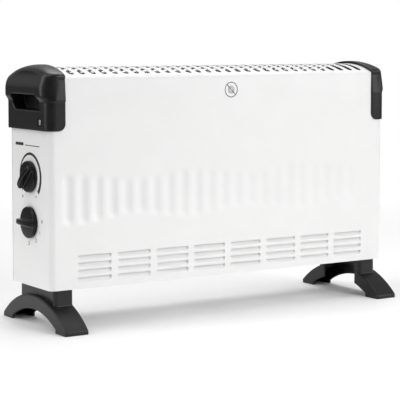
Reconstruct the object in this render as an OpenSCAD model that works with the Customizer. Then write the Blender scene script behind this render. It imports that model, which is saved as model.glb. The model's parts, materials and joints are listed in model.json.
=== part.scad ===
// Free-standing fan convector heater: sheet-steel casing, plastic end handles and feet,
// open-coil heating elements in a metal duct, and a shaded-pole fan that blows up through them.
// X runs along the heater, Y from front (-) to rear (+), Z up from the floor.

/* [Casing] */
// Length of the sheet casing
body_w = 520; // [500:10:560]
// Depth of the sheet casing
body_d = 105; // [104:1:108]
// Height of the casing's lower edge above the floor
body_bottom = 50.5; // [50:0.5:52]
// Height of the top edge of the front sheet
front_top = 311.5; // [308:0.5:320]
// Rise of the arched top over its edges
crown_rise = 11.5; // [9:0.5:13]
// Thickness of the sheet steel
sheet = 1; // [0.8:0.1:1]
// Outside radius of the vertical front corners
corner_r = 8; // [5:1:10]

/* [Openings] */
// Number of slots in the arched top
top_slots = 30; // [20:1:30]
// Distance between neighbouring top slots
top_slot_pitch = 15.5; // [14:0.1:15.5]
// Width of a top slot
top_slot_w = 7.8; // [4:0.1:8.5]
// Length of a top slot from front to rear
top_slot_l = 91; // [70:1:92]
// Columns of louvres in the front and rear sheets
louvre_columns = 8; // [6:1:8]
// Rows of louvres
louvre_rows = 4; // [3:1:4]
// Distance between louvre columns
louvre_pitch_x = 56.8; // [54:0.2:57]
// Distance between louvre rows
louvre_pitch_z = 9.1; // [8:0.1:10]
// Length of one louvre
louvre_l = 48.5; // [40:0.5:50]
// Height of the lowest louvre row
louvre_z0 = 63.7; // [62:0.1:66]
// Number of pressed flutes across the front
flutes = 22; // [16:1:22]
// Distance between neighbouring flutes
flute_pitch = 20.8; // [20:0.1:21.5]

/* [Handles] */
// Length of the handle caps along the casing
cap_l = 21; // [18:1:24]
// Wall thickness of the caps at the front, rear and end
cap_wall = 4; // [3:0.5:5]
// Height of the caps' lower edge
cap_bottom = 246; // [242:1:250]
// Bulge of the grip band past the end face
grip_bulge = 4; // [3:0.5:6]
// Depth of the finger pocket
pocket_depth = 17.5; // [14:0.5:20]

/* [Feet] */
// Half of the foot's length from front to rear
foot_half = 86; // [80:1:95]
// Width of a foot
foot_w = 32; // [28:1:33]
// Height of the foot's arched back
foot_arch = 39; // [37:1:41]
// Height of the gap under the foot
foot_gap = 21; // [18:1:23]
// Wall thickness of a foot
foot_wall = 3; // [2.5:0.5:4]

/* [Controls] */
// Diameter of both knobs
knob_d = 39.5; // [36:0.5:42]
// Height of the thermostat's axis
thermostat_z = 187.5; // [180:0.5:195]
// Height of the selector's axis
selector_z = 130.5; // [125:0.5:138]
// Distance of both axes behind the middle of the end panel
control_y = 1; // [0:0.5:3]
// Angle of the thermostat pointer below the horizontal at its lowest setting
pointer_drop = 42; // [20:1:45]
// Diameter of the control shafts
shaft_d = 6; // [6:0.5:7]

/* [Fan] */
// Place of the fan along the casing
fan_x = 12.5; // [0:0.5:20]
// Outside diameter of the impeller
impeller_d = 84; // [76:1:85]
// Number of impeller blades
blades = 5; // [4:1:7]

/* [Heating] */
// Distance between the mica boards
mica_pitch = 67; // [60:1:67]
// Outside diameter of the wound heating wire
coil_d = 5; // [4:0.5:5]

/* [Hidden] */
$fn = 64;

// outside faces of the casing
hw = body_w / 2;
hd = body_d / 2;
// radius of the arched top, from its chord and rise
crown_r = (hd * hd + crown_rise * crown_rise) / (2 * crown_rise);
crown_z = front_top + crown_rise - crown_r;
// the front and rear sheets stop under the rolled edge of the top
wall_top = front_top - 1.5;
through = 400;
// the row of flutes: height, shift to the control end, and the wave of their half lengths
flute_z = 163;
flute_shift = -17;
flute_mean = 27;
flute_wave = 4.5;
flute_period = 8.2;
// radius of the slim spindle that grazes the sheet to cut a flute
spindle_r = 30;
// screws through the rear panel, set in from the ends
rear_screw_z = [70, 125, 180, 235];
rear_screw_inset = 7;
vent_z0 = 236;
vent_pitch_z = 12;

// handles
cap_x = hw + cap_wall;
cap_inner = hw - cap_l;
cap_half = hd + 3.5;
cap_rise = 3.5;
pocket_y = [-33, 41];
pocket_z = [270.5, 290];
pocket_wall = 2;
handle_screw_y = -31.5;
handle_screw_z = 256.4;

// feet
foot_out = hw - 2.25;
foot_in = foot_out - foot_w;
foot_step = 5.75;
foot_neck = 47;
foot_lip = 5;
foot_pad = 59;
foot_open = 35;
foot_r = (foot_half * foot_half + pow(foot_arch - foot_lip, 2)) / (2 * (foot_arch - foot_lip));
gap_r = 112.7;
foot_mid = (foot_in + foot_out - foot_step) / 2;
foot_screw_y = 40;

// heating duct
duct_y = 43;
duct_top = 292;
// top of the duct's end walls
duct_wall_top = 297;
// height of the element rails' lower face, and their thickness
rail_z = 139;
rail_t = 1;
duct_side = hd - 4 * sheet;
partition_x = -213;
end_x = 234;
deck_z = 96;
rail_y = 31;
lower_coil_z = 128;
upper_coil_z = 150;
coil_rows = [-24, -8, 8, 24];
coil_turn = 8;
mica_first = -191;
mica_count = 7;
coil_x = [mica_first - 8, mica_first + (mica_count - 1) * mica_pitch + 8];

// fan motor
stack_z = [67, 79];
rotor_r = 12.4;
bore_r = 12.8;
fan_shaft_r = 2;
running_gap = 0.05;
tie_x = 21;
tie_hole_r = 2.05;
post_r = 3.8;
bracket_z = 57;
// undersides of the lower and upper bearing bridges
bridge_z = [61, 83];
bridge_t = 2;
hub_z = [87.5, 100];

// controls
knob_gap = 0.6;
shaft_reach = 9;
disc_t = 5.4;
knob_x = -hw - knob_gap;
bar_top = 12.5;
bracket_x = -hw + 9;
shaft_r = shaft_d / 2;
// sheet thickness of the control bracket
bracket_t = 1.2;
nut_t = 3;

// wiring
gland_x = -236;
gland_z = 118;
gland_r = 7;
cable_r = 3.6;
block_x = -232;
block_y = -28;
block_z = 64;
pole = 10;
grommet_y = 30;
grommet_z = 78;
grommet_r = 6;
earth_x = -236;
earth_y = 20;
wire_r = 1.4;
pin_x = partition_x - 14;
live_route = [[-242, -24, 60], [-242, -15, 61], [-244, -18, 72], [-244, -22, 90], [-244, -24, 120],
    [-243, -23, 145], [-233, -17, 158], [-221, -9, 166], [-219.5, -7, 172], [-223.8, -7, 175]];
neutral_lower_route = [[-232, -24, 60], [-232, -13, 60], [-231, 0, 64], [-232, 12, 76], [-233, 22, 96],
    [-238, 26, 116], [-236, 24, 127], [-227.2, 24, 128]];
neutral_upper_route = [[-237, 29, 116], [-240, 29, 130], [-239, 26, 144], [-235, 24, 150],
    [-227.2, 24, 150]];
selector_lower_route = [[-221.8, -7.5, 122], [-217.5, -9, 121], [-219, -17, 119], [-228, -23, 119],
    [-236, -25, 124], [-234, -24, 128], [-227.2, -24, 128]];
selector_upper_route = [[-221.8, -7.5, 139], [-217.5, -9, 141], [-219, -16, 146], [-227, -22, 153],
    [-235, -25, 154], [-234, -24, 150], [-227.2, -24, 150]];
selector_feed_route = [[-221.8, 9.5, 139], [-218, 12, 148], [-218, 12, 162], [-219.5, 9, 172],
    [-223.8, 9, 175]];
fan_live_route = [[-221.8, 9.5, 122], [-217.5, 11, 119], [-219, 20, 104], [-222, 28, 90],
    [-219, 30.5, 79], [-205, 30.5, 78], [-150, 36, 72], [-80, 40, 74], [-30, 38, 80], [-1.8, 34, 84]];
fan_neutral_route = [[-222, -24, 60], [-222, -15, 60], [-221, -4, 62], [-223, 12, 66], [-222, 24, 74],
    [-216, 27.5, 77], [-205, 28, 76], [-150, 33, 68], [-80, 37, 67], [-30, 36, 65], [-1.8, 34, 62.5]];
earth_route = [[-222, -32, 60], [-222, -42, 60], [-230, -45.5, 60], [-244, -44, 61], [-252, -34, 61],
    [-253, -10, 60], [-250, 8, 57], [-245, 18, 55], [-240, 20, 54]];

// colours
white = [0.93, 0.93, 0.92];
black = [0.09, 0.09, 0.1];
zinc = [0.68, 0.7, 0.71];
screw_grey = [0.78, 0.78, 0.77];
mica_tan = [0.72, 0.6, 0.4];
nichrome = [0.42, 0.36, 0.33];
ceramic = [0.9, 0.88, 0.82];
copper = [0.72, 0.4, 0.22];
brass = [0.78, 0.64, 0.34];

// ---- shared shapes ----

// cylinder along X, from x0 to x1
module rod_x(x0, x1, r, y, z) {
    translate([x0, y, z]) rotate([0, 90, 0]) cylinder(h = x1 - x0, r = r);
}

// cylinder along Y, from y0 to y1
module rod_y(y0, y1, r, x, z) {
    translate([x, y1, z]) rotate([90, 0, 0]) cylinder(h = y1 - y0, r = r);
}

// cylinder along Z, from z0 to z1
module rod_z(z0, z1, r, x, y) {
    translate([x, y, z0]) cylinder(h = z1 - z0, r = r);
}

// box given by its lowest and highest corners
module block(a, b) {
    translate(a) cube(b - a);
}

// the child and its mirror image across the middle of the heater
module both_ends() {
    children();
    mirror([1, 0, 0]) children();
}

// extrudes a (y, z) outline along X, from x0 to x1
module extrude_x(x0, x1) {
    translate([x0, 0, 0]) rotate([90, 0, 90]) linear_extrude(height = x1 - x0) children();
}

// extrudes an (x, z) outline along Y, from y0 to y1
module extrude_y(y0, y1) {
    translate([0, y1, 0]) rotate([90, 0, 0]) linear_extrude(height = y1 - y0) children();
}

// square from corner a to corner b
module area(a, b) {
    translate(a) square(b - a);
}

// rectangle from a to b with its corners rounded to r
module soft_area(a, b, r) {
    area(a + [r, 0], b - [r, 0]);
    area(a + [0, r], b - [0, r]);
    for (x = [a[0] + r, b[0] - r]) for (y = [a[1] + r, b[1] - r]) translate([x, y]) circle(r = r);
}

// slot with round ends, along the first axis of its sketch
module slot_2d(length, width) {
    square([length - width, width], center = true);
    for (s = [-1, 1]) translate([s * (length - width) / 2, 0]) circle(d = width);
}

// countersunk or pan-head screw along its axis, head at the origin and shank going down
module screw(head_r, head_h, shank_r, length) {
    difference() {
        cylinder(h = head_h, r = head_r);
        for (a = [0, 90]) rotate(a) translate([-head_r * 0.6, -0.45, head_h - 1.1])
            cube([head_r * 1.2, 0.9, 2]);
    }
    translate([0, 0, -length]) cylinder(h = length, r = shank_r);
}

// ---- casing ----

// plan of the casing's front and ends, set in by an amount
module casing_plan(inset) {
    r = corner_r - inset;
    area([-hw + inset + r, -hd + inset], [hw - inset - r, 0]);
    area([-hw + inset, -hd + inset + r], [hw - inset, hd - sheet]);
    for (s = [-1, 1]) translate([s * (hw - corner_r), -hd + corner_r]) circle(r = r);
}

// half length of flute i: a slow wave across the front
function flute_half(i) = flute_mean + flute_wave * cos(360 * (i - 0.5) / flute_period);

module louvre_field(y0, y1) {
    for (c = [0 : louvre_columns - 1]) for (r = [0 : louvre_rows - 1])
        extrude_y(y0, y1)
            translate([(c - (louvre_columns - 1) / 2) * louvre_pitch_x, louvre_z0 + r * louvre_pitch_z])
                slot_2d(louvre_l, 3);
}

// shallow dished flute, cut by a slim spindle of revolution that grazes the sheet
module flute_cutter(half) {
    bite = 0.6;
    rotate_extrude() polygon([
        [0, -half], [spindle_r, -half], [spindle_r + bite * 0.75, -half / 2], [spindle_r + bite, 0],
        [spindle_r + bite * 0.75, half / 2], [spindle_r, half], [0, half]
    ]);
}

module front_casing() {
    flange = 13;
    knob_hole_r = 5.5;
    color(white) difference() {
        translate([0, 0, body_bottom]) linear_extrude(height = wall_top - body_bottom) difference() {
            casing_plan(0);
            difference() {
                casing_plan(sheet);
                for (s = [-1, 1]) area([s * hw - (s > 0 ? flange : 0), hd - 2 * sheet],
                    [s * hw + (s > 0 ? 0 : flange), hd]);
            }
            area([-hw + flange, hd - 2 * sheet], [hw - flange, hd]);
        }
        louvre_field(-hd - 1, -hd + sheet + 1);
        for (i = [0 : flutes - 1])
            translate([(i - (flutes - 1) / 2) * flute_pitch + flute_shift, -hd - spindle_r, flute_z])
                flute_cutter(flute_half(i));
        // windows that the finger pockets pass through
        for (s = [-1, 1]) block([s * hw - 3, pocket_y[0] - 3, pocket_z[0] - 3],
            [s * hw + 3, pocket_y[1] + 3, pocket_z[1] + 3]);
        for (s = [-1, 1]) rod_x(s * hw - 3, s * hw + 3, 2.1, handle_screw_y, handle_screw_z);
        for (z = [thermostat_z, selector_z]) rod_x(-hw - 3, -hw + 3, knob_hole_r, control_y, z);
        rear_screw_places() rod_y(hd - 4, hd, 1.7, 0, 0);
    }
}

// the places where the rear panel is screwed to the casing's flanges, below the handles
module rear_screw_places() {
    for (s = [-1, 1]) for (z = rear_screw_z) translate([s * (hw - rear_screw_inset), 0, z]) children();
}

module rear_panel() {
    vent_rows = 3;
    color(white) difference() {
        block([-hw, hd - sheet, body_bottom], [hw, hd, wall_top]);
        louvre_field(hd - 2, hd + 1);
        // upper breathing slots
        for (c = [0 : louvre_columns - 1]) for (r = [0 : vent_rows - 1])
            extrude_y(hd - 2, hd + 1)
                translate([(c - (louvre_columns - 1) / 2) * louvre_pitch_x, vent_z0 + r * vent_pitch_z])
                    slot_2d(louvre_l, 4);
        rear_screw_places() rod_y(hd - 2, hd + 1, 2, 0, 0);
        rod_y(hd - 2, hd + 1, gland_r + 0.1, gland_x, gland_z);
    }
}

module top_grille() {
    first = -(top_slots - 1) / 2 * top_slot_pitch;
    skirt = 12;
    side = hw - sheet;
    color(white) difference() {
        union() {
            intersection() {
                extrude_x(-side, side) difference() {
                    translate([0, crown_z]) circle(r = crown_r, $fn = 128);
                    translate([0, crown_z]) circle(r = crown_r - sheet, $fn = 128);
                }
                block([-side, -hd, wall_top], [side, hd, front_top + crown_rise + 1]);
            }
            for (s = [-1, 1]) block([-side + 8, s * (hd - sheet - 0.5) - 0.5, wall_top - skirt],
                [side - 8, s * (hd - sheet - 0.5) + 0.5, wall_top + 1.6]);
        }
        for (i = [0 : top_slots - 1]) translate([first + i * top_slot_pitch, 0, wall_top + 2])
            linear_extrude(height = 20) rotate(90) slot_2d(top_slot_l, top_slot_w);
        // room for the casing's rear flanges
        for (s = [-1, 1]) block([s * (side - 9) - 10, hd - 2.5, wall_top - skirt - 1],
            [s * (side - 9) + 10, hd - 0.9, wall_top]);
    }
}

module bottom_plate() {
    flange = 10;
    rows_x = [-180, -110, 110, 180];
    color(white) difference() {
        union() {
            translate([0, 0, body_bottom]) linear_extrude(height = sheet) intersection() {
                casing_plan(sheet);
                area([-hw, -hd], [hw, hd - 2 * sheet]);
            }
            // stiffening flanges along the front and rear
            for (y = [-hd + 3 * sheet, hd - 4 * sheet])
                block([-hw + 30, y, body_bottom + sheet / 2], [hw - 30, y + sheet, body_bottom + flange]);
        }
        for (x = rows_x) for (i = [-2 : 2]) translate([x + i * 11, 0, body_bottom - 1])
            linear_extrude(height = 4) rotate(90) slot_2d(72, 5);
        // intake rings under the fan
        for (i = [-4 : 4]) translate([fan_x + i * 11, 0, body_bottom - 1])
            linear_extrude(height = 4) rotate(90) slot_2d(abs(i) > 2 ? 56 : 76, 5);
        for (s = [-1, 1]) for (y = [-foot_screw_y, foot_screw_y])
            rod_z(body_bottom - 1, body_bottom + 3, 1.7, s * foot_mid, y);
    }
}

// ---- handles ----

// outline of the casing's end with its arched top, grown by an amount
module end_outline(grow_y, grow_z, low) {
    r = crown_r + grow_z;
    area([-hd - grow_y, low], [hd + grow_y, front_top + grow_z - 2]);
    intersection() {
        translate([0, crown_z]) circle(r = r, $fn = 128);
        area([-hd - grow_y, front_top - 10], [hd + grow_y, front_top + 40]);
    }
}

// lengthwise profile of the handle: straight end face, grip band and rounded shoulder
module handle_profile() {
    crease = 284;
    shoulder = 12;
    top = front_top + crown_rise + cap_rise;
    polygon(concat(
        [[cap_inner, cap_bottom + 9], [cap_inner, top], [cap_x - shoulder - 2, top]],
        [for (a = [80 : -10 : 20]) [cap_x - shoulder - 2 + (shoulder + 3) * cos(a), top - 22 + 22 * sin(a)]],
        [[cap_x + grip_bulge - 1, 300], [cap_x + grip_bulge, 293], [cap_x + grip_bulge - 0.6, 288.5],
            [cap_x, crease - 3], [cap_x, cap_bottom]],
        [for (a = [270 : -15 : 195]) [cap_inner + 9 + 9 * cos(a), cap_bottom + 9 + 9 * sin(a)]]
    ));
}

module right_handle_solid() {
    px = cap_x - pocket_depth;
    front_r = 12;
    rear_r = 3;
    difference() {
        union() {
            difference() {
                intersection() {
                    extrude_x(cap_inner, cap_x + grip_bulge) end_outline(3.5, cap_rise, cap_bottom);
                    extrude_y(-cap_half, cap_half) handle_profile();
                    linear_extrude(height = through) handle_plan(front_r, rear_r);
                }
                // room for the casing's end
                extrude_x(cap_inner - 1, hw) end_outline(0, 0, cap_bottom - 1);
            }
            // walls of the finger pocket, inside the casing
            block([px - pocket_wall, pocket_y[0] - pocket_wall, pocket_z[0] - pocket_wall],
                [hw + 1, pocket_y[1] + pocket_wall, pocket_z[1] + pocket_wall]);
        }
        // the finger pocket itself, with one round and one slanted corner
        extrude_x(px, cap_x + grip_bulge + 1) pocket_outline();
        // countersunk screw hole
        rod_x(hw - 1, cap_x + 1, 2.1, handle_screw_y, handle_screw_z);
        rod_x(cap_x - 2, cap_x + 1, 3.7, handle_screw_y, handle_screw_z);
    }
}

// plan of the handle, with a broad front corner and a tight rear corner
module handle_plan(front_r, rear_r) {
    out = cap_x + grip_bulge;
    area([cap_inner, -cap_half], [cap_x - front_r, cap_half]);
    area([cap_x - front_r, 0], [cap_x - rear_r, cap_half]);
    area([cap_inner, -cap_half + front_r], [out, cap_half - rear_r]);
    translate([cap_x - front_r, -cap_half + front_r]) circle(r = front_r);
    translate([cap_x - rear_r, cap_half - rear_r]) circle(r = rear_r);
}

module pocket_outline() {
    r = 10;
    slant = 7;
    difference() {
        area([pocket_y[0], pocket_z[0]], [pocket_y[1], pocket_z[1]]);
        // rear lower corner
        polygon([[pocket_y[1] - slant, pocket_z[0] - 1], [pocket_y[1] + 1, pocket_z[0] - 1],
            [pocket_y[1] + 1, pocket_z[0] + slant]]);
        // front upper corner
        translate([pocket_y[0], pocket_z[1] - r]) difference() {
            area([-1, 0], [r, r + 1]);
            translate([r, 0]) circle(r = r);
        }
    }
}

module left_handle() {
    color(black) mirror([1, 0, 0]) right_handle_solid();
}

module right_handle() {
    color(black) right_handle_solid();
}

module handle_screws() {
    sink = 1.6;
    color(screw_grey) both_ends() translate([cap_x - 2, handle_screw_y, handle_screw_z])
        rotate([0, 90, 0]) screw(3.5, sink, 1.9, 12);
}

// ---- feet ----

// side view of a foot plate: arched back over an arched gap, with flat pads at both ends
module foot_side() {
    intersection() {
        difference() {
            translate([0, foot_arch - foot_r]) circle(r = foot_r, $fn = 128);
            intersection() {
                translate([0, foot_gap - gap_r]) circle(r = gap_r, $fn = 128);
                area([-foot_pad, -100], [foot_pad, foot_gap + 1]);
            }
        }
        area([-foot_half, 0], [foot_half, foot_arch + 1]);
    }
}

// the band that forms the foot's arched back
module foot_back() {
    intersection() {
        difference() {
            translate([0, foot_arch - foot_r]) circle(r = foot_r, $fn = 128);
            translate([0, foot_arch - foot_r]) circle(r = foot_r - foot_wall, $fn = 128);
        }
        area([-foot_half, 0], [foot_half, foot_arch + 1]);
    }
}

module right_foot_solid() {
    neck_out = foot_out - foot_step;
    difference() {
        union() {
            extrude_x(foot_out - foot_wall, foot_out) foot_side();
            extrude_x(foot_in, foot_in + foot_wall) foot_side();
            extrude_x(foot_in, foot_out) foot_back();
            // upright edges at the toes
            for (s = [-1, 1]) block([foot_in, s * (foot_half - foot_wall / 2) - foot_wall / 2, 0],
                [foot_out, s * (foot_half - foot_wall / 2) + foot_wall / 2, foot_lip]);
            // neck up to the casing
            difference() {
                block([foot_in, -foot_neck, foot_gap + 2], [neck_out, foot_neck, body_bottom]);
                block([foot_in + foot_wall, -foot_neck + foot_wall, 0],
                    [neck_out - foot_wall, foot_neck - foot_wall, body_bottom - foot_wall]);
                extrude_x(foot_in - 1, neck_out + 1) intersection() {
                    translate([0, foot_arch - foot_r]) circle(r = foot_r - foot_wall, $fn = 128);
                    area([-foot_half, 0], [foot_half, foot_arch]);
                }
            }
            // stiffening webs beside the screw places
            for (s = [-1, 1]) block([foot_in + 1, s * (foot_open + 1.5) - 1.5, 21],
                [foot_out - 1, s * (foot_open + 1.5) + 1.5, 31]);
        }
        // the inner side stays open in the middle
        block([foot_in - 1, -foot_open, -1], [neck_out - foot_wall, foot_open, body_bottom - foot_wall]);
        // screw holes in the neck's top, with driver holes through the arched back below them
        for (y = [-foot_screw_y, foot_screw_y]) {
            rod_z(20, body_bottom + 1, 2.1, foot_mid, y);
            rod_z(20, body_bottom - foot_wall - 1, 4, foot_mid, y);
        }
    }
}

module left_foot() {
    color(black) mirror([1, 0, 0]) right_foot_solid();
}

module right_foot() {
    color(black) right_foot_solid();
}

module foot_screws() {
    color(screw_grey) both_ends() for (y = [-foot_screw_y, foot_screw_y])
        translate([foot_mid, y, body_bottom - foot_wall]) rotate([180, 0, 0]) screw(3.4, 2, 1.6, 9);
}

module rear_panel_screws() {
    color(screw_grey) rear_screw_places() translate([0, hd, 0]) rotate([-90, 0, 0]) screw(3.4, 1.8, 1.6, 8);
}

// ---- heating duct ----

// end wall of the duct, with holes for the element rails and leads
module duct_wall(x, t) {
    difference() {
        block([x, -duct_side, body_bottom + sheet], [x + t, duct_side, duct_wall_top]);
        for (y = [-rail_y, rail_y])
            block([x - 1, y - 3.2, rail_z], [x + t + 1, y + 3.2, rail_z + rail_t + 0.2]);
    }
}

module partition_plate() {
    color(zinc) difference() {
        duct_wall(partition_x, sheet);
        for (z = [lower_coil_z, upper_coil_z]) for (y = [coil_rows[0], coil_rows[3]])
            rod_x(partition_x - 1, partition_x + sheet + 1, 4, y, z);
        rod_x(partition_x - 1, partition_x + sheet + 1, grommet_r, grommet_y, grommet_z);
    }
}

module end_plate() {
    color(zinc) duct_wall(end_x, sheet);
}

module reflector(y, lean) {
    x0 = partition_x + sheet;
    difference() {
        union() {
            block([x0, y - sheet / 2, deck_z + sheet], [end_x, y + sheet / 2, duct_top]);
            // return flange at the top, towards the casing
            translate([0, lean * 3, 0]) block([x0, y - 3, duct_top - sheet], [end_x, y + 3, duct_top]);
        }
        for (i = [0 : 5]) translate([-175 + i * 75, y, 0]) extrude_y(-4, 4)
            translate([0, 205]) slot_2d(50, 5);
    }
}

module front_reflector() {
    color(zinc) reflector(-duct_y, -1);
}

module rear_reflector() {
    color(zinc) reflector(duct_y, 1);
}

module fan_deck() {
    ring_r = impeller_d / 2 + 2;
    windows = [-170, -105, 105, 175];
    half = 27;
    color(zinc) difference() {
        union() {
            block([partition_x + sheet, -duct_y - 0.5, deck_z], [end_x, duct_y + 0.5, deck_z + sheet]);
            // collar around the impeller, inside the duct's width
            difference() {
                rod_z(deck_z - 9, deck_z + sheet, ring_r + 1, fan_x, 0);
                block([fan_x - 60, duct_y + 0.5, 0], [fan_x + 60, duct_y + 20, through]);
                block([fan_x - 60, -duct_y - 20, 0], [fan_x + 60, -duct_y - 0.5, through]);
            }
        }
        intersection() {
            rod_z(deck_z - 10, deck_z + 2, ring_r, fan_x, 0);
            block([fan_x - 60, -duct_y + 0.2, 0], [fan_x + 60, duct_y - 0.2, through]);
        }
        for (x = windows) block([x - half, -34, deck_z - 1], [x + half, 34, deck_z + 2]);
    }
}

// ---- heating elements ----

module element_rails() {
    color(zinc) for (s = [-1, 1])
        block([partition_x - 4, s * rail_y - 3, rail_z], [end_x + 5, s * rail_y + 3, rail_z + rail_t]);
}

// insulating boards across the duct, slotted onto the rails and drilled for the wire
module mica_boards() {
    color(mica_tan) for (i = [0 : mica_count - 1])
        translate([mica_first + i * mica_pitch - 0.5, 0, 0]) extrude_x(0, 1) difference() {
            area([-rail_y - 3, 116], [rail_y + 3, 162]);
            for (s = [-1, 1]) translate([s * (rail_y + 1), rail_z + 0.6]) square([8, 1.2], center = true);
            for (y = coil_rows) for (z = [lower_coil_z, upper_coil_z])
                translate([y, z]) circle(r = coil_d / 2 + 0.1);
        }
}

// one wound wire, folded into four runs that pass through the mica boards
module heating_coil(z) {
    r = coil_d / 2;
    lead = 7;
    x0 = coil_x[0];
    x1 = coil_x[1];
    for (i = [0 : 3]) rod_x(i % 3 == 0 ? x0 - lead : x0, x1, r, coil_rows[i], z);
    for (i = [0, 2]) translate([x1, (coil_rows[i] + coil_rows[i + 1]) / 2, z]) rotate(-90)
        rotate_extrude(angle = 180) translate([coil_turn, 0]) circle(r = r);
    translate([x0, 0, z]) rotate(90)
        rotate_extrude(angle = 180) translate([coil_turn, 0]) circle(r = r);
}

module lower_heating_coil() {
    color(nichrome) heating_coil(lower_coil_z);
}

module upper_heating_coil() {
    color(nichrome) heating_coil(upper_coil_z);
}

// the four places where the wire ends leave the duct
module wire_end_places() {
    for (z = [lower_coil_z, upper_coil_z]) for (y = [coil_rows[0], coil_rows[3]])
        translate([partition_x, y, z]) children();
}

// insulating beads in the partition
module ceramic_bushes() {
    color(ceramic) wire_end_places() difference() {
        union() {
            rod_x(-5, sheet + 1, 3.9, 0, 0);
            rod_x(-5, 0, 6, 0, 0);
        }
        rod_x(-6, 4, 1.2, 0, 0);
    }
}

// studs that carry the current through the beads to the wound wires
module element_pins() {
    color(brass) wire_end_places() rod_x(pin_x - partition_x, coil_x[0] - 7 - partition_x, 1.2, 0, 0);
}

// self-resetting disc cut-out on the rear reflector, with two tab terminals
module thermal_cutout() {
    x = 60;
    z = 172;
    y = duct_y - sheet / 2;
    color(black) {
        rod_y(y - 2, y, 11, x, z);
        rod_y(y - 9, y - 2, 8, x, z);
        for (s = [-1, 1]) block([x + s * 4 - 3, y - 15, z - 0.4], [x + s * 4 + 3, y - 9, z + 0.4]);
    }
}

// one-shot fuse clipped over the upper wire
module thermal_fuse() {
    z = 168;
    x = -90;
    color(brass) {
        rod_x(x - 8, x + 8, 3, -duct_y + 5.5, z);
        rod_x(x - 24, x + 24, 0.6, -duct_y + 5.5, z);
        for (s = [-1, 1])
            block([x + s * 5 - 1, -duct_y + sheet / 2, z - 5], [x + s * 5 + 1, -duct_y + 5, z + 5]);
    }
}

// ---- fan ----

module motor_bracket() {
    t = 1.5;
    half = 34;
    depth = 11;
    tab = 6;
    floor_z = body_bottom + sheet;
    color(zinc) translate([fan_x, 0, 0]) difference() {
        union() {
            block([-half, -depth, bracket_z], [half, depth, bracket_z + t]);
            for (s = [-1, 1]) {
                leg = s * (half - t / 2);
                foot = s * (half + tab - 2);
                block([leg - t / 2, -depth, floor_z], [leg + t / 2, depth, bracket_z + t]);
                block([foot - tab, -depth, floor_z], [foot + tab, depth, floor_z + t]);
                rod_z(bracket_z, bridge_z[0], post_r, s * tie_x, 0);
            }
        }
        for (s = [-1, 1]) rod_z(bracket_z - 1, bridge_z[0] + 1, tie_hole_r, s * tie_x, 0);
    }
}

// laminated frame with the rotor's bore and the leg that carries the winding
module motor_stator() {
    color(screw_grey) translate([fan_x, 0, 0]) difference() {
        translate([0, 0, stack_z[0]]) linear_extrude(height = stack_z[1] - stack_z[0]) difference() {
            soft_area([-28, -19], [28, 37], 2);
            circle(r = bore_r);
            area([-15, 17], [15, 26]);
            for (s = [-1, 1]) translate([s * tie_x, 0]) circle(r = tie_hole_r);
            // shading slots beside the bore
            for (s = [-1, 1]) translate([s * 14.5, -9]) rotate(s * 50) square([1.2, 5], center = true);
        }
    }
}

module motor_winding() {
    gap = 0.1;
    color(copper) translate([fan_x, 0, 0]) difference() {
        union() {
            block([-12, 19.5, 60.5], [12, 43.5, 85.5]);
            for (s = [-1, 1]) block([s * 13 - 1, 18.5, 59.5], [s * 13 + 1, 44.5, 86.5]);
        }
        block([-20, 26 - gap, stack_z[0] - gap], [20, 37 + gap, stack_z[1] + gap]);
    }
}

// bearing bridges above and below the rotor
module motor_bearings() {
    bush_z = [[59, 64.5], [82, 87]];
    // the posts run from the lower bridge up to the stack, and from the stack up to the upper bridge
    post_z = [[bridge_z[0] + bridge_t, stack_z[0]], [stack_z[1], bridge_z[1]]];
    color(brass) translate([fan_x, 0, 0]) for (i = [0, 1]) difference() {
        union() {
            block([-27, -6, bridge_z[i]], [27, 6, bridge_z[i] + bridge_t]);
            rod_z(bush_z[i][0], bush_z[i][1], 5.5, 0, 0);
            for (s = [-1, 1]) rod_z(post_z[i][0], post_z[i][1], post_r, s * tie_x, 0);
        }
        rod_z(bracket_z, hub_z[1], fan_shaft_r + running_gap, 0, 0);
        for (s = [-1, 1]) rod_z(bracket_z, hub_z[1], tie_hole_r, s * tie_x, 0);
    }
}

module motor_screws() {
    color(screw_grey) for (s = [-1, 1]) translate([fan_x + s * tie_x, 0, bridge_z[1] + bridge_t])
        screw(3.6, 2.2, 2, 27);
}

module motor_rotor() {
    color(zinc) translate([fan_x, 0, 0]) difference() {
        rod_z(stack_z[0] - 1, stack_z[1] + 1, rotor_r, 0, 0);
        rod_z(stack_z[0] - 2, stack_z[1] + 2, fan_shaft_r, 0, 0);
    }
}

module motor_shaft() {
    color(screw_grey) rod_z(58.8, hub_z[1] - 1.5, fan_shaft_r, fan_x, 0);
}

module fan_impeller() {
    hub_r = 13;
    tilt = 28;
    chord = 13;
    thick = 1.4;
    color([0.2, 0.2, 0.22]) translate([fan_x, 0, 0]) difference() {
        union() {
            difference() {
                rod_z(hub_z[0], hub_z[1], hub_r, 0, 0);
                difference() {
                    rod_z(hub_z[0] - 1, hub_z[1] - 2, hub_r - 1.6, 0, 0);
                    rod_z(hub_z[0] - 2, hub_z[1], 4.5, 0, 0);
                }
            }
            intersection() {
                for (i = [0 : blades - 1]) rotate(i * 360 / blades)
                    translate([hub_r - 1, 0, (hub_z[0] + hub_z[1]) / 2]) rotate([tilt, 0, 0])
                        translate([0, -chord * 1.15, -thick / 2]) cube([impeller_d / 2, chord * 2.3, thick]);
                rod_z(hub_z[0], hub_z[1], impeller_d / 2, 0, 0);
            }
        }
        rod_z(hub_z[0] - 2, hub_z[1] - 1.5, fan_shaft_r, 0, 0);
    }
}

// ---- controls ----

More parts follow.
